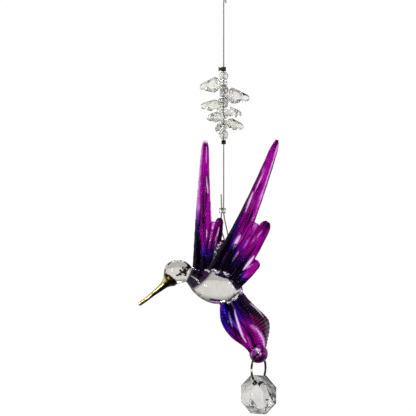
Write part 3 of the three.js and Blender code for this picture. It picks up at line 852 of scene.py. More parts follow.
def cut_glass(name, tint, fleck, ior, body_share, painted_rim_grey, painted_facet_stops, painted_dark_reflection=None):
    """Machine-cut and fire-polished crystal: clear, with painted shade at its edges and a faint
    iridescent coat. Each facet, by the way it faces, throws a painted grey of its own, from black
    glint to white, darker where it faces right and up, and those facets may break into painted dark
    reflections."""
    material, add = start_material(name)
    _, coat = mottle(add, 240, 2.0, [(0.4, tint), (0.75, fleck)])
    # Painted shade: the glass is darker towards its edges, where it turns from the camera
    painted_rim = add("LayerWeight", {"Blend": 0.5})
    stops = [(0.0, "#FFFFFF"), (0.55, "#FFFFFF"), (0.84, "#BEC0BA"), (0.97, painted_rim_grey)]
    greys = [add("ValToRGB", {"Fac": painted_rim.outputs["Facing"]}, stops)]
    # Painted light on the facets: each facet takes a grey, from black glint to white, by the way it
    # faces, darker when it faces right and up
    facing = add("NewGeometry")
    way = facing.outputs["True Normal"]
    painted_shade_lean = add("VectorMath", {0: way, 1: PAINTED_SHADE_WAY}, operation="DOT_PRODUCT")
    painted_facet_noise = add("TexNoise", {"Vector": way, "Scale": 2.6, "Detail": 1.0})
    layers = [(-0.12, painted_facet_noise, painted_facet_stops)]
    # Painted dark reflections: sharp dark flecks on the facets that face right and up
    if painted_dark_reflection:
        painted_reflection_shards = blotches(add, 300, 0.5, Distortion=1.5)
        layers.append((0.3, painted_reflection_shards, [(0.64, "#FFFFFF"), (0.67, painted_dark_reflection)]))
    for push, noise, stops in layers:
        leaning = {0: painted_shade_lean.outputs["Value"], 1: push, 2: noise.outputs["Fac"]}
        total = add("Math", leaning, **TIMES_PLUS)
        greys.append(add("ValToRGB", {"Fac": total.outputs[0]}, stops))
    tone = coat.outputs["Color"]
    for grey in greys:
        both = {SHARE: 1.0, FIRST: tone, SECOND: grey.outputs["Color"]}
        tone = add("Mix", both, **MULTIPLIED).outputs[RESULT]
    return finish_material(
        material,
        Base_Color=tone,
        Roughness=0.02,
        IOR=ior,
        Transmission_Weight=body_share,
    )


def round_bead_rings(centre, diameter, height):
    """Rings up the faceted outside of a round bead and back down its bore."""
    outer = diameter / 2
    levels = [
        (-0.5, 0.55 * outer, 0),
        (-0.36, 0.78 * outer, 0.5),
        (0, outer, 0),
        (0.36, 0.78 * outer, 0.5),
        (0.5, 0.55 * outer, 0),
        (0.5, BORE_RADIUS, 0),
        (-0.5, BORE_RADIUS, 0),
    ]
    z = centre[2]
    slices = [(Z * (z + level * height), radius, radius, shift) for level, radius, shift in levels]
    return faceted_rings(slices, ROUND_BEAD_SIDES, X, Y)


class BuildBeads(bpy.types.Operator):
    """Cuts the round beads and the drop beads on the wire."""

    bl_idname = "suncatcher.beads"
    bl_label = "Faceted Beads"

    def execute(self, context):
        crystal = context.scene.suncatcher_crystal
        # Painted light on the cut beads: facet greys from black glints to white stand in for
        # reflection and refraction, and the rim grey is painted shade at their edges
        facets = [(0.28, "#0E0E0C"), (0.31, "#B4B6AE"), (0.4, "#F2F3EE"), (0.48, "#FFFFFF")]
        greys = {"ior": 1.46, "body_share": 0.9, "painted_rim_grey": "#0C0C0A", "painted_facet_stops": facets}
        tints = [
            cut_glass(f"Pressed_crystal_{name}", crystal.body_grey, fleck, **greys)
            for name, fleck in (("grey", "#DDE0DA"), ("olive", "#CFD0B4"), ("rose", "#E0D6DE"))
        ]
        beads = []
        for node, sizes in (("upper_round_bead", UPPER_BEAD), ("lower_round_bead", LOWER_BEAD)):
            rings = round_bead_rings(middle(node), *sizes)
            beads.append((node, mesh_of(node, *looped_skin(rings)), tints[0]))
        for number, sizes in enumerate(DROP_BEADS):
            node = f"drop_bead_{number + 1}"
            beads.append((node, drop_bead_mesh(node, number, *sizes), tints[number % len(tints)]))
        for node, mesh, material in beads:
            mesh = edged(mesh, crystal.arris)
            piece(f"{node}_cut", mesh, [material], [node], shade_smooth=False)
        return {"FINISHED"}


def drop_bead_z(number):
    """The height at which a drop bead is strung, counted down from the upper round bead."""
    first = middle("upper_round_bead")[2] - UPPER_BEAD[1] / 2 - CLEARANCE - DROP_NECK_HEIGHT / 2
    return first - number * (DROP_NECK_HEIGHT + CLEARANCE)


def drop_bead_mesh(node, number, heading, reach, girth, droop):
    """A drop bead: a flat drilled neck, a faceted belly and a long taper of kite facets."""
    along, across = turned(heading, Y)
    neck, cheek = DROP_NECK_HEIGHT / 2, BORE_RADIUS + CRIMP_WALL * 2
    belly, tip = girth / 2, DROP_TIP_DIAMETER / 2
    rise = DROP_BELLY_REACH - DROP_NECK_REACH
    run = reach - DROP_TIP_ROUNDING - DROP_BELLY_REACH
    swell = lambda start: start + 0.68 * (belly - start)
    taper = lambda share: belly + (tip - belly) * share
    profile = [
        (-1.16 * cheek, 0.6 * cheek, 0.6 * neck, 0.5),
        (-0.7 * cheek, cheek, neck, 0.5),
        (DROP_NECK_REACH, cheek, neck, 0.5),
        (DROP_NECK_REACH + 0.45 * rise, swell(cheek), swell(neck), 0),
        (DROP_BELLY_REACH, belly, belly, 0.5),
        (DROP_BELLY_REACH + 0.36 * run, taper(0.3), taper(0.3), 0),
        (DROP_BELLY_REACH + 0.66 * run, taper(0.62), taper(0.62), 0.5),
        (reach - DROP_TIP_ROUNDING, tip, tip, 0),
        (reach, 0.6 * tip, 0.6 * tip, 0),
    ]
    z = drop_bead_z(number)
    slices = []
    for out, half, deep, shift in profile:
        flats = 1 / math.cos(math.pi / DROP_SIDES) if shift else 1
        at = along * out + Z * (z - droop * max(out, 0) / reach)
        slices.append((at, flats * half, flats * deep, shift))
    mesh = mesh_of(node, *closed_skin(faceted_rings(slices, DROP_SIDES, across, Z)))
    return cut(mesh, drill(Z * z, Z, 3 * neck, BORE_RADIUS, sides=20))


# Body, from the neck over the round body to the rump, in body diameters: x, z, half height and width
BODY_SPINE = [
    (-0.841, 0.397, 0.206, 0.214),
    (-0.762, 0.349, 0.246, 0.246),
    (-0.619, 0.254, 0.31, 0.31),
    (-0.429, 0.135, 0.405, 0.397),
    (-0.206, 0.048, 0.48, 0.475),
    (0, 0, 0.5, 0.5),
    (0.222, -0.024, 0.465, 0.465),
    (0.413, -0.056, 0.38, 0.38),
    (0.571, -0.087, 0.26, 0.25),
    (0.698, -0.119, 0.13, 0.12),
    (0.738, -0.127, 0.05, 0.05),
]
# Shares of the beak's length, and half widths in head heights
BEAK_FLARE = [
    (0, 0.372),
    (0.13, 0.349),
    (0.2, 0.256),
    (0.28, 0.18),
    (0.4, 0.137),
    (0.6, 0.102),
    (0.8, 0.088),
]
# Wing fingers: root in body diameters, heading, reach and bow in wing lengths, half widths at root
# and tip in body diameters, flutes, thickness, and how far out the root and the tip stand
NEAR_FINGERS = [
    ((0.095, 0.397), 67.2, 1, -0.017, (0.389, 0.107), 3, 1, 1, 1),
    ((0.286, 0.349), 61.2, 0.416, -0.006, (0.286, 0.167), 2, 0.85, 1, 0.68),
    ((0.397, 0.286), 56.9, 0.463, -0.012, (0.31, 0.159), 2, 0.95, 1, 0.62),
    ((0.46, 0.143), 39.9, 0.229, -0.008, (0.27, 0.127), 1, 0.9, 0.8, 0.45),
]
FAR_FINGERS = [
    ((-0.381, 0.397), 89.4, 1, 0.008, (0.349, 0.111), 3, 1, 1, 1),
    ((-0.27, 0.397), 83.3, 0.383, 0, (0.238, 0.119), 1, 0.8, 1, 0.4),
    ((-0.143, 0.397), 81.8, 0.413, 0.004, (0.238, 0.123), 1, 0.62, 0.9, 0),
]
# The rounded end of a finger, as shares of its length: where it starts, and how far it would run
FINGER_ROUNDED_FROM = 0.9
FINGER_ROUNDED_OVER = 0.11
# The hanging eye: arch half widths, rod diameters added outward, and shares of the arch's rise
EYE_ARCH = [
    (-1, -1, 0),
    (-1, -0.4, 0.32),
    (-1, 0, 0.56),
    (-0.92, 0, 0.76),
    (-0.66, 0, 0.93),
    (0, 0, 1),
    (0.66, 0, 0.93),
    (0.92, 0, 0.76),
    (1, 0, 0.56),
    (1, 0.25, 0.32),
    (1, 0.4, -0.16),
]
# A trail of clear glass along each wing's joint with the body, and one over the tail's joint: places
# in body diameters, and rod radii
WING_TRAIL = [
    (-0.36, 0.5, 0.3, 0.4),
    (-0.22, 0.46, 0.36, 0.65),
    (-0.1, 0.5, 0.42, 0.4),
    (0.03, 0.44, 0.45, 0.75),
    (0.16, 0.47, 0.44, 0.4),
    (0.28, 0.37, 0.44, 0.8),
    (0.4, 0.33, 0.38, 0.4),
    (0.47, 0.2, 0.36, 0.8),
    (0.56, 0.12, 0.27, 0.45),
    (0.6, 0.02, 0.22, 0.8),
]
TAIL_TRAIL = [
    (0.66, -0.02, 0.08, 0.5),
    (0.63, -0.14, 0.17, 0.8),
    (0.57, -0.22, 0.22, 0.45),
    (0.5, -0.32, 0.25, 0.75),
    (0.4, -0.38, 0.22, 0.45),
    (0.3, -0.46, 0.16, 0.65),
]

EYE_CROWN_Z = middle("bird_loop_crimp")[2] - BIRD_LOOP_HEIGHT + BORE_RADIUS + HANGING_EYE_ROD / 2
BODY_PLACE = vec(WIRE_FOOT_X - EYE_CROWN_BEHIND_BODY, 0, EYE_CROWN_Z - EYE_CROWN_ABOVE_BODY)


def in_bodies(x, z, y=0.0):
    return BODY_PLACE + vec(x * BODY_DIAMETER, y, z * BODY_DIAMETER)


HEAD_CENTRE = in_bodies(-1.127, 0.437)
TAIL_ROOT = in_bodies(0.46, -0.27)
TAIL_ALONG, TAIL_RIGHTWARD = turned(TAIL_HEADING, Z)
TAIL_ACROSS = -TAIL_RIGHTWARD
TAIL_EYE = TAIL_ROOT + TAIL_ALONG * 0.87 * TAIL_LENGTH + TAIL_ACROSS * 0.028 * TAIL_WIDTH
RING_ACROSS, RING_SQUARE = turned(RING_TURN, Y)


def spine_run(rows, place, count):
    """A run along rows of x, z, half height and half width in the plane of symmetry."""
    rows = smooth_rows(rows, count)
    at = np.stack([rows[:, 0], 0 * rows[:, 0], rows[:, 1]], axis=1) + place
    along = headings(at)
    across = np.stack([-along[:, 2], 0 * along[:, 0], along[:, 0]], axis=1)
    return run_of(at, across, LATERAL, rows[:, 2], rows[:, 3])


def body_run():
    return spine_run(np.array(BODY_SPINE) * BODY_DIAMETER, BODY_PLACE, count=60)


def head_run():
    turn = np.linspace(0.03, 0.97, 40) * np.pi
    at = HEAD_CENTRE - X * (np.cos(turn) * HEAD_LENGTH / 2)[:, None]
    share = np.sin(turn) / 2
    return run_of(at, Z, LATERAL, share * HEAD_HEIGHT, share * HEAD_WIDTH)


def beak_run():
    root = HEAD_CENTRE - X * 0.154 * HEAD_LENGTH - Z * 0.163 * HEAD_HEIGHT
    forward, over = turned(BEAK_HEADING, Z)
    tip = BEAK_TIP_DIAMETER / 2
    rows = [(share, half * HEAD_HEIGHT) for share, half in BEAK_FLARE] + [(0.97, tip), (1, 0.6 * tip)]
    share, half = smooth_rows(rows, count=60).T
    out = (share * BEAK_LENGTH)[:, None]
    sag = 0.024 * BEAK_LENGTH * np.sin(share * np.pi)[:, None]
    at = root + forward * out + over * sag
    return run_of(at, over, LATERAL, half, half)


def finger_run(length, side, finger, relief):
    root, heading, reach, bow, halves, flutes, thickness, root_side, tip_side = finger
    along, across = turned(heading, Z)
    root_out = side * SHOULDER * root_side
    tip_out = side * (SHOULDER + WING_SPREAD) * tip_side
    t = np.linspace(0, 1, 90)
    line = along * reach * length + Y * (tip_out - root_out)
    swing = bow * length * np.sin(np.pi * t)
    at = in_bodies(*root, root_out) + line * t[:, None] + across * swing[:, None]
    past = np.clip((t - FINGER_ROUNDED_FROM) / FINGER_ROUNDED_OVER, 0, None)
    rounding = np.sqrt(np.clip(1 - past**2, 0, None))
    half = (halves[0] + (halves[1] - halves[0]) * t**0.85) * BODY_DIAMETER * rounding
    blade = thickness * (WING_ROOT_THICKNESS + (WING_TIP_THICKNESS - WING_ROOT_THICKNESS) * t)
    deep = blade * (0.4 + 0.6 * rounding) / 2

    def fluted(angle, _t):
        u = np.cos(angle)
        return u, np.sin(angle) * (1 + relief * np.cos(flutes * np.pi * u))

    return run_of(at, across, LATERAL, half, deep, fluted)


def tail_fold(u, t):
    narrowing = rises(t, TAIL_WIDEST, 1 - TAIL_WIDEST)
    return TAIL_FOLD_DEPTH * np.sin(1.5 * np.pi * u + 0.6) * (1 - narrowing)


def tail_run():
    t = np.linspace(0, 1, 90)
    narrowing = rises(t, TAIL_WIDEST, 1 - TAIL_WIDEST)
    sway = TAIL_SWAY * np.sin(2 * np.pi * t) + 0.05 * TAIL_WIDTH * narrowing
    out = t * TAIL_LENGTH - TAIL_SUNK * BODY_DIAMETER
    at = TAIL_ROOT + TAIL_ACROSS * sway[:, None] + TAIL_ALONG * out[:, None]
    opening = np.sin(np.pi / 2 * np.minimum(t / TAIL_WIDEST, 1))
    share = TAIL_ROOT_WIDTH + (1 - TAIL_ROOT_WIDTH) * opening - 0.6 * rises(t, 0.55, 0.45)
    turn = (TAIL_ROOT_TURN + TAIL_TWIST * t)[:, None]
    across = TAIL_ACROSS * np.cos(turn) + LATERAL * np.sin(turn)
    through = np.cross(TAIL_ALONG, across)

    def pleated(angle, t):
        u = np.cos(angle)
        return u, tail_fold(u, t) + np.sin(angle) * TAIL_THICKNESS / 2

    return run_of(at, across, through, TAIL_WIDTH / 2 * share, 1, pleated)


def tail_end_run():
    radius = TAIL_EYE_BORE / 2 + TAIL_EYE_WALL
    rows = [(-0.5, 0.72), (-0.3, 0.95), (0, 1), (0.3, 0.95), (0.5, 0.72)]
    level, share = smooth_rows(rows, count=24).T
    at = TAIL_EYE + RING_ACROSS * (level * TAIL_END_THICKNESS)[:, None]
    return run_of(at, RING_SQUARE, Z, share * radius, share * radius)


def hanging_eye_path():
    half = (HANGING_EYE_OPENING + HANGING_EYE_ROD) / 2
    centre = BODY_PLACE[0] + EYE_CROWN_BEHIND_BODY
    foot = BODY_PLACE[2] + 0.28 * BODY_DIAMETER
    rise = EYE_CROWN_Z - foot
    points = [
        (centre + halves * half + rods * HANGING_EYE_ROD, 0, foot + share * rise)
        for halves, rods, share in EYE_ARCH
    ]
    return smooth_path(points, count=70)


def rod_run(path, radius):
    """A run along a free path, round in section."""
    along = headings(path)
    across = unit(np.cross(along, Y))
    return run_of(path, across, np.cross(along, across), radius, radius)


def trail_run(rows, side):
    """A run along a trail of hot glass laid over a joint."""
    rows = np.array(rows)
    path = [in_bodies(x, z, side * y * BODY_DIAMETER) for x, z, y, _ in rows]
    radius = smooth_rows(rows[:, 3:], count=50)[:, 0]
    return rod_run(smooth_path(path, count=50), radius)


def dot_run(place, radius):
    """A small round dot of glass."""
    turn = np.linspace(0.05, 0.95, 14) * np.pi
    at = place - Y * (np.cos(turn) * radius)[:, None]
    return run_of(at, X, Z, np.sin(turn) * radius, np.sin(turn) * radius)


# Touches of black glass that make up the eye on the near side, -1, and on the far side: millimetres
# right of and above the head's middle, and radius
EYE_TOUCHES = {
    -1: [
        (2.5, 0.6, 0.6),
        (2.6, -0.6, 0.62),
        (1.7, 0, 0.45),
        (1.0, 0.5, 0.5),
        (0.8, -0.7, 0.55),
        (-0.1, -1.1, 0.42),
    ],
    1: [(1.4, 0, 0.4)],
}
# How deep the touches sit in the head, in head widths from its middle
EYE_DEPTH = 0.47

# Painted highlights on the coloured glass: part, share along and across it at both ends, half width
PAINTED_HIGHLIGHT_STREAKS = [
    ("near_0", (0.97, -0.65), (0.45, -0.75), 0.28),
    ("near_0", (0.76, 0.25), (0.64, 0.42), 0.42),
    ("near_0", (0.61, 0.6), (0.46, 0.45), 0.4),
    ("near_0", (0.31, -0.1), (0.2, -0.05), 0.75),
    ("near_1", (0.75, -0.1), (0.55, 0), 0.3),
    ("near_2", (0.86, 0.1), (0.56, 0.6), 0.36),
    ("near_2", (0.46, -0.7), (0.2, -0.5), 0.75),
    ("near_3", (0.85, 0.4), (0.45, 0.6), 0.35),
    ("far_0", (0.32, -0.35), (0.18, -0.45), 0.5),
    ("far_0", (0.73, -0.4), (0.58, -0.65), 0.28),
    ("far_1", (0.9, 0.1), (0.55, 0.3), 0.3),
    ("far_2", (0.85, -0.2), (0.5, 0.1), 0.4),
    ("far_0", (0.95, -0.3), (0.82, -0.35), 0.22),
    ("near_1", (0.45, 0.3), (0.25, 0.35), 0.45),
    ("tail", (0.26, 0.05), (0.74, 0.7), 0.7),
    ("tail", (0.55, -0.14), (0.92, -0.55), 0.65),
    ("tail", (0.26, -0.88), (0.58, -0.78), 0.36),
    ("tail", (0.25, 0.42), (0.42, 0.6), 0.3),
]
# Dark streaks: partly dark glass, partly painted shade along edges and folds; the same columns
DARK_AND_SHADE_STREAKS = [
    ("near_0", (0.6, 0.1), (0.3, -0.2), 0.4),
    ("near_0", (0.92, 0.75), (0.2, 0.8), 0.5),
    ("near_0", (0.5, -0.45), (0.2, -0.6), 0.35),
    ("near_1", (0.95, 0.7), (0.2, 0.6), 0.4),
    ("near_2", (0.9, 0.75), (0.2, 0.85), 0.5),
    ("near_2", (0.5, 0), (0.15, 0.1), 0.4),
    ("near_3", (0.9, 0.8), (0.2, 0.9), 0.5),
    ("far_0", (0.78, -0.05), (0.15, 0), 0.35),
    ("far_0", (0.55, 0.4), (0.15, 0.5), 0.45),
    ("far_0", (0.5, -0.75), (0.1, -0.8), 0.3),
    ("far_2", (0.9, 0.6), (0.2, 0.6), 0.4),
    ("tail", (0.1, -0.3), (0.57, -0.02), 0.35),
    ("tail", (0.5, 0), (0.9, 0.1), 0.3),
    ("tail", (0.18, 0.3), (0.7, 0.9), 0.3),
    ("tail", (0.1, -0.8), (0.57, -0.19), 0.5),
    ("tail", (0.57, -0.19), (0.86, -0.75), 0.5),
    ("tail", (0.02, -0.5), (0.6, -0.7), 2.6),
    ("tail", (0.3, -0.97), (0.8, -0.97), 0.3),
]

# The zones of the skin, in the order of its materials
CLEAR, COLOURED, GILT, BLACK, TRAILED = range(5)

# Millimetres: the thinnest a part is taken to be, and how far some parts' colour reaches past them
LEAST_HALF = 0.25
COLOUR_REACH = {"beak": 0.25, "eye_dot": 0.1}
# How far apart the grain of two parts lies, so that their streaks don't match
GRAIN_APART = 7.3
# Where the tail's ribbed leaf folds over: shares along the tail, and shares across it there
LEAF_FOLD = ((0.1, 0.18, 0.57, 0.84, 1), (-0.9, -0.75, -0.19, -0.72, -0.9))
# Rounds of easing that give fused joints their fillets and blend the colours over them
FILLET_ROUNDS = 9
BLEND_ROUNDS = 8
# Depth of the slow unevenness of torch-worked glass, in millimetres
SKIN_WOBBLE = 0.05
# A broad streak in the drawn glass, in millimetres
STREAK_WIDTH = 2.0
STREAK_LENGTH = 20.0


def bird_parts(glass):
    """Every fused part of the bird: a name, its zone, its run and its number of sides."""
    parts = [
        ("body", CLEAR, body_run(), 64),
        ("head", CLEAR, head_run(), 48),
        ("beak", GILT, beak_run(), 32),
        ("tail", COLOURED, tail_run(), 96),
        ("tail_end", COLOURED, tail_end_run(), 48),
        ("eye_loop", TRAILED, rod_run(hanging_eye_path(), HANGING_EYE_ROD / 2), 28),
    ]
    wings = (("near", -1, NEAR_WING_LENGTH, NEAR_FINGERS), ("far", 1, FAR_WING_LENGTH, FAR_FINGERS))
    for wing, side, length, fingers in wings:
        for number, finger in enumerate(fingers):
            run = finger_run(length, side, finger, glass.flute_relief)
            parts.append((f"{wing}_{number}", COLOURED, run, 48))
    for side in (-1, 1):
        for rows in (WING_TRAIL, TAIL_TRAIL):
            parts.append(("trail", TRAILED, trail_run(rows, side), 16))
        for right, up, radius in EYE_TOUCHES[side]:
            round_share = 1 - (2 * right / HEAD_LENGTH) ** 2 - (2 * up / HEAD_HEIGHT) ** 2
            out = EYE_DEPTH * HEAD_WIDTH * math.sqrt(round_share)
            place = HEAD_CENTRE + vec(right, side * out, up)
            parts.append(("eye_dot", BLACK, dot_run(place, radius), 16))
    return parts


def lie_on(run, points, fold=None):
    """Where points lie on a run: share along it, share across it, and distance from its skin."""
    at, across, through = run["at"], run["across"], run["through"]
    last = len(at) - 1
    nearest = np.zeros(len(points), int)
    best = np.full(len(points), np.inf)
    for i, place in enumerate(at):
        distance = ((points - place) ** 2).sum(1)
        closer = distance < best
        nearest[closer] = i
        best[closer] = distance[closer]
    offset = points - at[nearest]
    half = np.maximum(run["half"][nearest], LEAST_HALF)
    u = (offset * across[nearest]).sum(1) / half
    v = (offset * through[nearest]).sum(1)
    stride = np.gradient(at, axis=0)[nearest]
    ahead = (offset * stride).sum(1) / (stride**2).sum(1)
    t = np.clip((nearest + np.clip(ahead, -0.5, 0.5)) / last, 0, 1)
    if fold:
        skin = np.sqrt(np.clip(1 - u**2, 0, None)) * TAIL_THICKNESS / 2
        out = np.maximum(np.abs(v - fold(np.clip(u, -1, 1), t)) - skin, (np.abs(u) - 1) * half)
    else:
        deep = np.maximum(run["deep"][nearest], LEAST_HALF)
        out = (np.hypot(u, v / deep) - 1) * np.minimum(half, deep)
    beyond = np.abs(ahead) * np.linalg.norm(stride, axis=1)
    return t, u, out + np.where((nearest == 0) | (nearest == last), beyond, 0)


def streak(t, u, half, length, start, end, width):
    """How far points on a run lie inside a streak that narrows towards both its ends."""
    share = np.clip((t - start[0]) / (end[0] - start[0]), 0, 1)
    across = (u - start[1] - (end[1] - start[1]) * share) * half
    along = (t - start[0] - (end[0] - start[0]) * share) * length
    narrowing = 0.3 + 0.7 * np.sin(np.pi * share)
    return smooth(1.5 - 1.5 * np.hypot(across, along) / (width * narrowing))


def eased(points, edges, rounds):
    """Points drawn towards their neighbours and back out, so that fused joints get fillets."""
    a, b = edges.T
    ends, others = np.concatenate([a, b]), np.concatenate([b, a])
    count = np.maximum(np.bincount(ends, minlength=len(points)), 1)[:, None]
    for _ in range(rounds):
        for pull in (0.5, -0.52):
            sums = [np.bincount(ends, column, len(points)) for column in points[others].T]
            points = points + pull * (np.stack(sums, axis=1) / count - points)
    return points


def set_attribute(mesh, name, values, kind="FLOAT"):
    layer = mesh.attributes.new(name, kind, "POINT")
    layer.data.foreach_set("vector" if kind == "FLOAT_VECTOR" else "value", np.ravel(values))


def melted(parts, glass):
    """One skin over all the parts, with the tail's bore cut through it, in millimetres."""
    skins = [closed_skin(rings_of(run, sides)) for _, _, run, sides in parts]
    item = loose_object("fusing", mesh_of("fusing", *joined(skins), scale=1))
    melt = item.modifiers.new("Melt", "REMESH")
    melt.mode = "VOXEL"
    melt.voxel_size = glass.skin_step / MM
    reach = 1.5 * TAIL_END_THICKNESS
    tool = drill(TAIL_EYE, RING_ACROSS, reach, TAIL_EYE_BORE / 2, sides=32, scale=1)
    return cut(with_modifiers(item), tool)


def painted_and_dark_streaks(streaks, name, t, u, half, length):
    """The strongest of a part's own streaks at each point."""
    found = [streak(t, u, half, length, *ends) for part, *ends in streaks if part == name]
    return np.max([0 * t, *found], axis=0)


def trail_painted_highlight(name, t, u, half, length):
    """A painted highlight: a bright thread that wanders along a trail and comes and goes."""
    gone = t * length
    wave = 0.22 * np.sin(gone * 2.1) + 0.26 * np.sin(gone * 5.3 + 1) + 0.1
    thread = smooth(1.5 - np.abs(u - wave) * half / 0.25) * smooth(1.3 * np.sin(gone * 1.7) + 1.4)
    return thread * (t < 0.6) if name == "eye_loop" else thread


def body_stain_and_painted_shade(t, u):
    """Violet round the neck and in a small spot under the body, coloured near black so that at the
    neck it is also painted shade.
    """
    neck = rises(t, 0.07, 0.05) * (1 - rises(t - 0.07 * u, 0.29, 0.05))
    foot = rises(-u, 0.64, 0.14) * smooth(1.6 - np.abs(t - 0.5) / 0.05)
    return neck + 3 * foot


def wing_layers(name, t, u):
    """Dark at the root, and along the long finger's leading edge or another's trailing edge. The far
    wing's long finger has a clear fringe."""
    past_root = rises(t, 0.35, 0.3)
    if name.endswith("_0"):
        depth, dusk = (t - 0.26 * rises(u, 0.2, 0.7) - 0.05) / 0.27, 0 * t
    else:
        depth, dusk = (t - 0.1) / 0.45, 0.55 * rises(-u, 0.35, 0.5) * past_root
    layers = {"depth": depth, "dusk": dusk}
    if name == "far_0":
        layers["fringe"] = np.maximum(rises(u, 0.6, 0.12) * past_root, rises(t, 0.965, 0.03))
    return layers


def tail_layers(t, u):
    """Blue at the root, with the ribbed leaf in maroon to the right of its fold."""
    fold_edge = np.interp(t, *LEAF_FOLD)
    return {
        "depth": 0.42 + 0.7 * rises(t, 0.25, 0.55),
        "dusk": rises(fold_edge - u, 0, 0.14),
        "ribbed": 0.35 + 0.65 * rises(-u, -0.3, 0.5),
    }


def tail_end_layers(points):
    """A painted highlight in a ring over the bore, on its upper side, and a painted dark ring of
    shade round it.
    """
    offset = points - TAIL_EYE
    offset = offset - (offset @ RING_ACROSS)[:, None] * RING_ACROSS
    out = np.linalg.norm(offset, axis=1) - TAIL_EYE_BORE / 2
    return {
        "pale": smooth(1.5 - np.abs(out - 0.5) / 0.42) * smooth(offset[:, 2] + 1),
        "dark": smooth(1.5 - np.abs(out - 1.25) / 0.32),
        "depth": 0.95 + 0 * out,
        "dusk": 0.15 + 0 * out,
    }


def part_layers(name, zone, t, u, half, length, points):
    """What a part's glass shows. It keeps the depth and stain under it unless it has its own."""
    none = 0 * t
    layers = {"zone": none + zone, "dusk": none, "ribbed": none, "fringe": none}
    # Painted highlight streaks, and dark streaks that are partly painted shade
    layers["pale"] = painted_and_dark_streaks(PAINTED_HIGHLIGHT_STREAKS, name, t, u, half, length)
    layers["dark"] = painted_and_dark_streaks(DARK_AND_SHADE_STREAKS, name, t, u, half, length)
    if name.startswith(("near", "far")):
        layers.update(wing_layers(name, t, u))
    elif name == "tail":
        layers.update(tail_layers(t, u))
    elif name == "tail_end":
        layers.update(tail_end_layers(points))
    elif name == "body":
        layers["stain"] = body_stain_and_painted_shade(t, u)
    elif name == "beak":
        layers["stain"] = 1 - rises(t, 0.1, 0.14)
    elif zone == TRAILED:
        # Painted highlight threads along the trails
        layers["pale"] = trail_painted_highlight(name, t, u, half, length)
    return layers


def painted(parts, points):
    """The grain and the layers of colour at each point, taken from the part that it lies on."""
    count = len(points)
    best = np.full(count, np.inf)
    grain = np.zeros((count, 3))
    names = ("zone", "dusk", "ribbed", "fringe", "stain", "pale", "dark")
    layers = {name: np.zeros(count) for name in names}
    layers["depth"] = np.ones(count)
    for index, (name, zone, run, _) in enumerate(parts):
        t, u, out = lie_on(run, points, tail_fold if name == "tail" else None)
        out = out - COLOUR_REACH.get(name, 0)
        own = out < best
        best = np.where(own, out, best)
        length = gone_along(run["at"])[-1]
        half = run["half"][(t * (len(run["at"]) - 1)).astype(int)]
        place = np.stack([u * half, t * length, np.full(count, GRAIN_APART * index)], axis=1)
        grain = np.where(own[:, None], place, grain)
        for layer, values in part_layers(name, zone, t, u, half, length, points).items():
            layers[layer] = np.where(own, values, layers[layer])
    return grain, layers


def fused_bird_mesh(glass):
    """The bird's parts melted into one skin, with its zones, grain and layers of colour on it."""
    parts = bird_parts(glass)
    mesh = melted(parts, glass)
    points = read_all(mesh.vertices, "co", 3)
    grain, layers = painted(parts, points)
    edges = read_all(mesh.edges, "vertices", 2, int)
    points = eased(points, edges, FILLET_ROUNDS)
    blended = ("ribbed", "depth", "dusk")
    soft = eased(np.stack([layers[name] for name in blended], axis=1), edges, BLEND_ROUNDS)
    layers.update(zip(blended, np.clip(soft, 0, (1, 1.2, 1)).T))
    mesh.vertices.foreach_set("co", points.ravel())
    mesh.update()
    pitch, height = glass.ridge_pitch / MM, glass.ridge_height / MM
    ridge = np.cos(2 * np.pi * grain[:, 1] / pitch) * height * smooth(layers["ribbed"])
    wobble = np.sin(points @ vec(0.7, 0.9, 0.5)) * np.sin(points @ vec(-0.6, 0.4, 0.8))
    swell = (ridge + wobble * SKIN_WOBBLE)[:, None]
    points = points + read_all(mesh.vertices, "normal", 3) * swell
    mesh.vertices.foreach_set("co", (points * MM).ravel())

    zone = layers.pop("zone")
    set_attribute(mesh, "grain", grain, "FLOAT_VECTOR")
    for name, values in layers.items():
        set_attribute(mesh, name, values)
    mesh.materials.clear()
    corner = read_all(mesh.loops, "vertex_index", kind=int)
    first = corner[read_all(mesh.polygons, "loop_start", kind=int)]
    mesh.polygons.foreach_set("material_index", zone[first].astype(int).ravel())
    mesh.update()
    return mesh


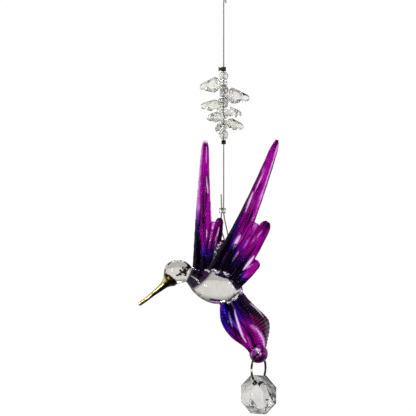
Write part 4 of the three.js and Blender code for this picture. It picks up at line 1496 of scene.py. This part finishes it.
def clear_lampwork(name, painted_rim_stops, body_share, lumps, seeds):
    """Clear borosilicate, worked in the torch: bright, with slow ripples and seeds of trapped air,
    and
    painted light by facing: painted shade at the body's edges, a dark middle and a painted highlight
    round the rim on trails. Violet drawn down from the wings stains it, near black so that at the
    neck it is also painted shade, and bright threads of painted highlight run along trails."""
    material, add = start_material(name)
    # Painted light by facing: the rim stops darken the body's edges as shade, and give trails a dark
    # middle and a highlight round the rim
    painted_rim = add("LayerWeight", {"Blend": 0.5})
    shade = add("ValToRGB", {"Fac": painted_rim.outputs["Facing"]}, painted_rim_stops)
    _, folds = mottle(add, 950, 1.0, [(0.4, seeds), (0.52, "#FFFFFF")], Distortion=0.8)
    both = {SHARE: 1.0, FIRST: shade.outputs["Color"], SECOND: folds.outputs["Color"]}
    tone = add("Mix", both, **MULTIPLIED)
    swirl = blotches(add, 210, 1.5, Distortion=1.2)
    bump = add("Bump", {"Height": swirl.outputs["Fac"], "Distance": lumps * MM, "Strength": 0.5})
    patchy = add("Math", {0: swirl.outputs["Fac"], 1: 9.0, 2: -2.7}, use_clamp=True, **TIMES_PLUS)
    # The stain's near-black colour is also painted shade at the neck, and the pale threads on trails
    # are painted highlights
    stain = add("Attribute", attribute_name="stain")
    thread = add("Attribute", attribute_name="pale")
    amount = {0: stain.outputs["Fac"], 1: patchy.outputs[0]}
    stain_and_painted_shade = add("Math", amount, operation="MULTIPLY", use_clamp=True)
    for share, colour in ((stain_and_painted_shade.outputs[0], "#0C0216"), (thread.outputs["Fac"], "#FAF6FC")):
        tone = add("Mix", {SHARE: share, FIRST: tone.outputs[RESULT], SECOND: colour}, **MIXED)
    return finish_material(
        material,
        Base_Color=tone.outputs[RESULT],
        Roughness=0.015,
        IOR=1.48,
        Specular_Tint="#A8A4B0",
        Transmission_Weight=body_share,
        Normal=bump.outputs["Normal"],
    )


def tail_ridges(add, grain, pitch):
    """The height of the tail's pressed ridges, from 0 in the grooves to 1."""
    split = add("SeparateXYZ", {"Vector": grain.outputs["Vector"]})
    turns = {0: split.outputs["Y"], 1: 2 * math.pi / (pitch / MM)}
    swell = add("Math", turns, operation="MULTIPLY")
    wave = add("Math", {0: swell.outputs[0]}, operation="COSINE")
    level = {0: wave.outputs[0], 1: 0.5, 2: 0.4}
    return add("Math", level, use_clamp=True, **TIMES_PLUS)


def violet_lampwork(glass):
    """Violet and blue glass drawn out in the torch: lengthwise streaks, darker where it is thick,
    with painted highlights, and painted shade at its edges and in the tail's grooves.
    """
    material, add = start_material("Streaked_violet_lampwork")
    names = ("grain", "depth", "dusk", "fringe", "pale", "dark", "ribbed")
    grain, depth, dusk, fringe, painted_highlight_streak, dark_streak_and_shade, ribbed = (
        add("Attribute", attribute_name=name) for name in names
    )
    along = {"Vector": grain.outputs["Vector"], "Scale": (1 / STREAK_WIDTH, 1 / STREAK_LENGTH, 1.0)}
    drawn = add("Mapping", along)
    broad, narrow = (
        add("TexNoise", {"Vector": drawn.outputs["Vector"], **sizes})
        for sizes in (
            {"Scale": 1.0, "Detail": 2.0, "Roughness": 0.5},
            {"Scale": 1.5, "Detail": 2.5, "Roughness": 0.55},
        )
    )
    swing = add("Math", {0: broad.outputs["Fac"], 1: 1.4, 2: -0.74}, **TIMES_PLUS)
    both = {0: depth.outputs["Fac"], 1: swing.outputs[0]}
    total = add("Math", both, operation="ADD", use_clamp=True)
    stops = [
        (0.0, glass.root_blue),
        (0.18, glass.root_blue),
        (0.4, glass.violet),
        (0.62, "#6A0896"),
        (0.8, glass.magenta),
        (1.0, glass.magenta),
    ]
    body = add("ValToRGB", {"Fac": total.outputs[0]}, stops)
    stops = [(0.35, "#10041A"), (0.44, "#8A7090"), (0.52, "#FFFFFF")]
    lines = add("ValToRGB", {"Fac": narrow.outputs["Fac"]}, stops)
    lined = {SHARE: 1.0, FIRST: body.outputs["Color"], SECOND: lines.outputs["Color"]}
    tone = add("Mix", lined, **MULTIPLIED)
    # Painted highlights: the brightest lengthwise noise streaks, away from the dark roots, mixed
    # towards pink-white
    thin = add("Math", {0: narrow.outputs["Fac"], 1: 8.0, 2: -4.9}, use_clamp=True, **TIMES_PLUS)
    lit = {0: thin.outputs[0], 1: depth.outputs["Fac"]}
    lights = add("Math", lit, operation="MULTIPLY", use_clamp=True)
    # Painted shade: the glass is darker towards its edges, where it turns from the camera
    painted_rim = add("LayerWeight", {"Blend": 0.4})
    shade = add("ValToRGB", {"Fac": painted_rim.outputs["Facing"]}, [(0.5, "#FFFFFF"), (0.9, "#4A2048")])
    # Painted shade in the tail's grooves: the ribbed leaf is darkened between its pressed ridges
    ridge = tail_ridges(add, grain, glass.ridge_pitch).outputs[0]
    groove_painted_shade = add("ValToRGB", {"Fac": ridge}, [(0.1, "#453F50"), (0.7, "#FFFFFF")])
    comb = add("Math", {0: ribbed.outputs["Fac"], 1: 0.7}, operation="MULTIPLY", use_clamp=True)
    # Maroon of the leaf, near black in the grooves and lighter on the ridges: painted shade in the
    # grooves
    maroon = add("Mix", {SHARE: ridge, FIRST: "#040004", SECOND: "#641848"}, **MIXED)
    # Layers: painted highlights, painted edge shade, painted groove shade, the maroon leaf, dark
    # streaks partly painted shade, painted highlight streaks, clear fringe
    for share, colour, way in (
        (lights.outputs[0], "#E080E0", MIXED),
        (1.0, shade.outputs["Color"], MULTIPLIED),
        (comb.outputs[0], groove_painted_shade.outputs["Color"], MULTIPLIED),
        (dusk.outputs["Fac"], maroon.outputs[RESULT], MIXED),
        (dark_streak_and_shade.outputs["Fac"], "#08020E", MIXED),
        (painted_highlight_streak.outputs["Fac"], "#F6CCF2", MIXED),
        (fringe.outputs["Fac"], "#F0E6F0", MIXED),
    ):
        tone = add("Mix", {SHARE: share, FIRST: tone.outputs[RESULT], SECOND: colour}, **way)
    bump = add("Bump", {"Height": narrow.outputs["Fac"], "Distance": 0.5 * MM, "Strength": 0.35})
    return finish_material(
        material,
        Base_Color=tone.outputs[RESULT],
        Roughness=0.03,
        IOR=1.36,
        Specular_Tint="#5A2A78",
        Transmission_Weight=0.9,
        Normal=bump.outputs["Normal"],
    )


def gilt_lustre(glass):
    """Gold lustre fired on glass: a thin warm metal skin, browned at the flare, with painted shade
    darkening it where it faces down.
    """
    material, add = start_material("Fired_gold_lustre")
    noise = blotches(add, 420, 4.0)
    facing = add("NewGeometry")
    split = add("SeparateXYZ", {"Vector": facing.outputs["Normal"]})
    flare = add("Attribute", attribute_name="stain")
    bright = noise.outputs["Fac"]
    # Painted shade: faces turned down are darker; the flare is darker too, and the noise gives the
    # wear
    for value, share in ((split.outputs["Z"], 0.42), (flare.outputs["Fac"], -0.2)):
        bright = add("Math", {0: value, 1: share, 2: bright}, **TIMES_PLUS).outputs[0]
    stops = [(0.34, "#0E0A06"), (0.46, "#6A5A2C"), (0.6, glass.gilt)]
    tone = add("ValToRGB", {"Fac": bright}, stops)
    polish = add("Math", {0: noise.outputs["Fac"], 1: 0.3, 2: 0.08}, **TIMES_PLUS)
    return finish_material(
        material,
        Base_Color=tone.outputs["Color"],
        Metallic=1.0,
        Roughness=polish.outputs[0],
    )


def black_dot_glass():
    """Opaque black glass, touched on with a thin rod: deep gloss with a painted brown sheen at its
    edge.
    """
    material, add = start_material("Black_touched_glass")
    # Painted sheen: the glass turns brown towards its edges, where it turns from the camera
    painted_rim = {"Fac": add("LayerWeight", {"Blend": 0.4}).outputs["Facing"]}
    tone = add("ValToRGB", painted_rim, [(0.3, "#060505"), (0.95, "#2E1C0C")])
    return finish_material(
        material,
        Base_Color=tone.outputs["Color"],
        Roughness=0.08,
        IOR=1.5,
        Specular_IOR_Level=0.15,
    )


class BuildBird(bpy.types.Operator):
    """Melts the bird's parts into one piece of glass and colours it."""

    bl_idname = "suncatcher.bird"
    bl_label = "Glass Bird"

    def execute(self, context):
        glass = context.scene.suncatcher_glass
        # Painted light for the clear glass: the body is painted darker towards its edges as shade,
        # and the trails get a dark painted middle and a painted highlight round their rim
        clear_painted_rim = [(0.0, glass.clear), (0.5, "#DCD9D4"), (0.74, "#8E888C"), (0.92, "#2A2230")]
        trail = [(0.0, "#1C1626"), (0.3, "#5A5266"), (0.5, "#FFFCFF"), (0.95, "#F0ECF2")]
        materials = [
            clear_lampwork(
                "Clear_borosilicate_lampwork", clear_painted_rim, body_share=1.0, lumps=0.05, seeds="#F6F4F0"
            ),
            violet_lampwork(glass),
            gilt_lustre(glass),
            black_dot_glass(),
            clear_lampwork(
                "Clear_borosilicate_trail", trail, body_share=0.45, lumps=0.5, seeds="#0C0812"
            ),
        ]
        mesh = fused_bird_mesh(glass)
        piece("lampworked_bird", mesh, materials, ["glass_hummingbird"])
        return {"FINISHED"}


def nickel_steel():
    """Nickel-plated steel ring wire, drawn and cut: painted highlights and painted dark reflections
    by turns along its length.
    """
    # Painted highlights and dark reflections: blotches from near black to near white
    stops = [(0.36, "#0A0A08"), (0.56, "#34342E"), (0.62, "#8E8E82"), (0.68, "#E8E8DA")]
    return plated_metal("Nickel_plated_steel", 700, 4.0, stops, unevenness=0.22, polish=0.06)


class BuildRing(bpy.types.Operator):
    """Bends the split jump ring through the tail's eye."""

    bl_idname = "suncatcher.ring"
    bl_label = "Jump Ring"

    def execute(self, context):
        metal = context.scene.suncatcher_metal
        gap = metal.ring_gap / MM / RING_RADIUS
        turn = RING_SEAM + np.linspace(gap / 2, 2 * np.pi - gap / 2, 120)
        way = np.cos(turn)[:, None] * RING_ACROSS + np.sin(turn)[:, None] * Z
        rings = swept(middle("jump_ring") + RING_RADIUS * way, RING_WIRE / 2, sides=20)
        mesh = edged(mesh_of("jump_ring_split", *closed_skin(rings)), METAL_EDGE, angle=50)
        piece("jump_ring_split", mesh, [nickel_steel()], ["jump_ring"])
        return {"FINISHED"}


def octagon_rings(centre):
    """Rings from the crystal's back table over its belt to its front table."""
    flats = 1 / math.cos(math.pi / CRYSTAL_SIDES)
    edge, table = CRYSTAL_HEIGHT / 2 * flats, CRYSTAL_TABLE / 2 * flats
    front = [
        (CRYSTAL_EDGE / 2, edge, 0.5),
        (CRYSTAL_BELT_OUT * CRYSTAL_THICKNESS, CRYSTAL_BELT * (table + edge), 0),
        (0.5 * CRYSTAL_THICKNESS, table, 0.5),
    ]
    back = [(-out, radius, shift) for out, radius, shift in reversed(front)]
    slices = [
        (centre + RING_ACROSS * out, radius, radius, shift) for out, radius, shift in back + front
    ]
    return faceted_rings(slices, CRYSTAL_SIDES, RING_SQUARE, Z)


def crystal_drill(centre):
    """The drill for the crystal's hole, wide enough for the ring's bend to pass."""
    rise = RING_RADIUS - math.sqrt(RING_RADIUS**2 - (0.75 * CRYSTAL_THICKNESS / 2) ** 2)
    bore = RING_WIRE + 2 * CLEARANCE + rise
    hole = centre + Z * (CRYSTAL_HEIGHT / 2 - CRYSTAL_TOP_WALL - bore / 2)
    return drill(hole, RING_ACROSS, CRYSTAL_THICKNESS, bore / 2, sides=28)


class BuildCrystal(bpy.types.Operator):
    """Cuts the octagon crystal with its table, kite facets, belt and hole."""

    bl_idname = "suncatcher.crystal"
    bl_label = "Octagon Crystal"

    def execute(self, context):
        node = "octagon_crystal"
        centre = middle(node)
        mesh = cut(mesh_of("octagon", *closed_skin(octagon_rings(centre))), crystal_drill(centre))
        mesh = edged(mesh, context.scene.suncatcher_crystal.arris * CRYSTAL_ARRIS)
        # Painted light on the crystal: facet greys from black glints to white, painted shade at its
        # edges, and painted dark reflections
        facets = [(0.33, "#08080C"), (0.37, "#5A5A62"), (0.4, "#D4D4D4"), (0.5, "#FFFFFF")]
        material = cut_glass(
            "Cut_lead_crystal",
            tint="#E6E5E0",
            fleck="#D2D2D6",
            ior=1.42,
            body_share=0.84,
            painted_rim_grey="#2A2A2C",
            painted_facet_stops=facets,
            painted_dark_reflection="#0C0C12",
        )
        piece(f"{node}_cut", mesh, [material], [node], shade_smooth=False)
        return {"FINISHED"}


class SuncatcherPanel(bpy.types.Panel):
    """Lists the suncatcher's pieces in the sidebar."""

    bl_idname = "VIEW3D_PT_suncatcher"
    bl_label = "Glass Suncatcher"
    bl_space_type = "VIEW_3D"
    bl_region_type = "UI"
    bl_category = "Suncatcher"

    def draw(self, context):
        for operator in OPERATORS:
            self.layout.operator(operator.bl_idname)
        for name in GROUPS:
            group = getattr(context.scene, name)
            for label in group.__annotations__:
                self.layout.prop(group, label)


GROUPS = {
    "suncatcher_studio": SuncatcherStudio,
    "suncatcher_metal": SuncatcherMetal,
    "suncatcher_crystal": SuncatcherCrystal,
    "suncatcher_glass": SuncatcherGlass,
}
OPERATORS = (BuildStudio, BuildWire, BuildCrimps, BuildBeads, BuildBird, BuildRing, BuildCrystal)


def register():
    for group in (*GROUPS.values(), *OPERATORS, SuncatcherPanel):
        bpy.utils.register_class(group)
    for name, group in GROUPS.items():
        setattr(bpy.types.Scene, name, bpy.props.PointerProperty(type=group))


def unregister():
    for name in GROUPS:
        delattr(bpy.types.Scene, name)
    for group in (SuncatcherPanel, *reversed(OPERATORS), *GROUPS.values()):
        bpy.utils.unregister_class(group)


def main():
    register()
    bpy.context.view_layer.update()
    for name in ("studio", "wire", "crimps", "beads", "bird", "ring", "crystal"):
        getattr(bpy.ops.suncatcher, name)()


if __name__ == "__main__":
    main()
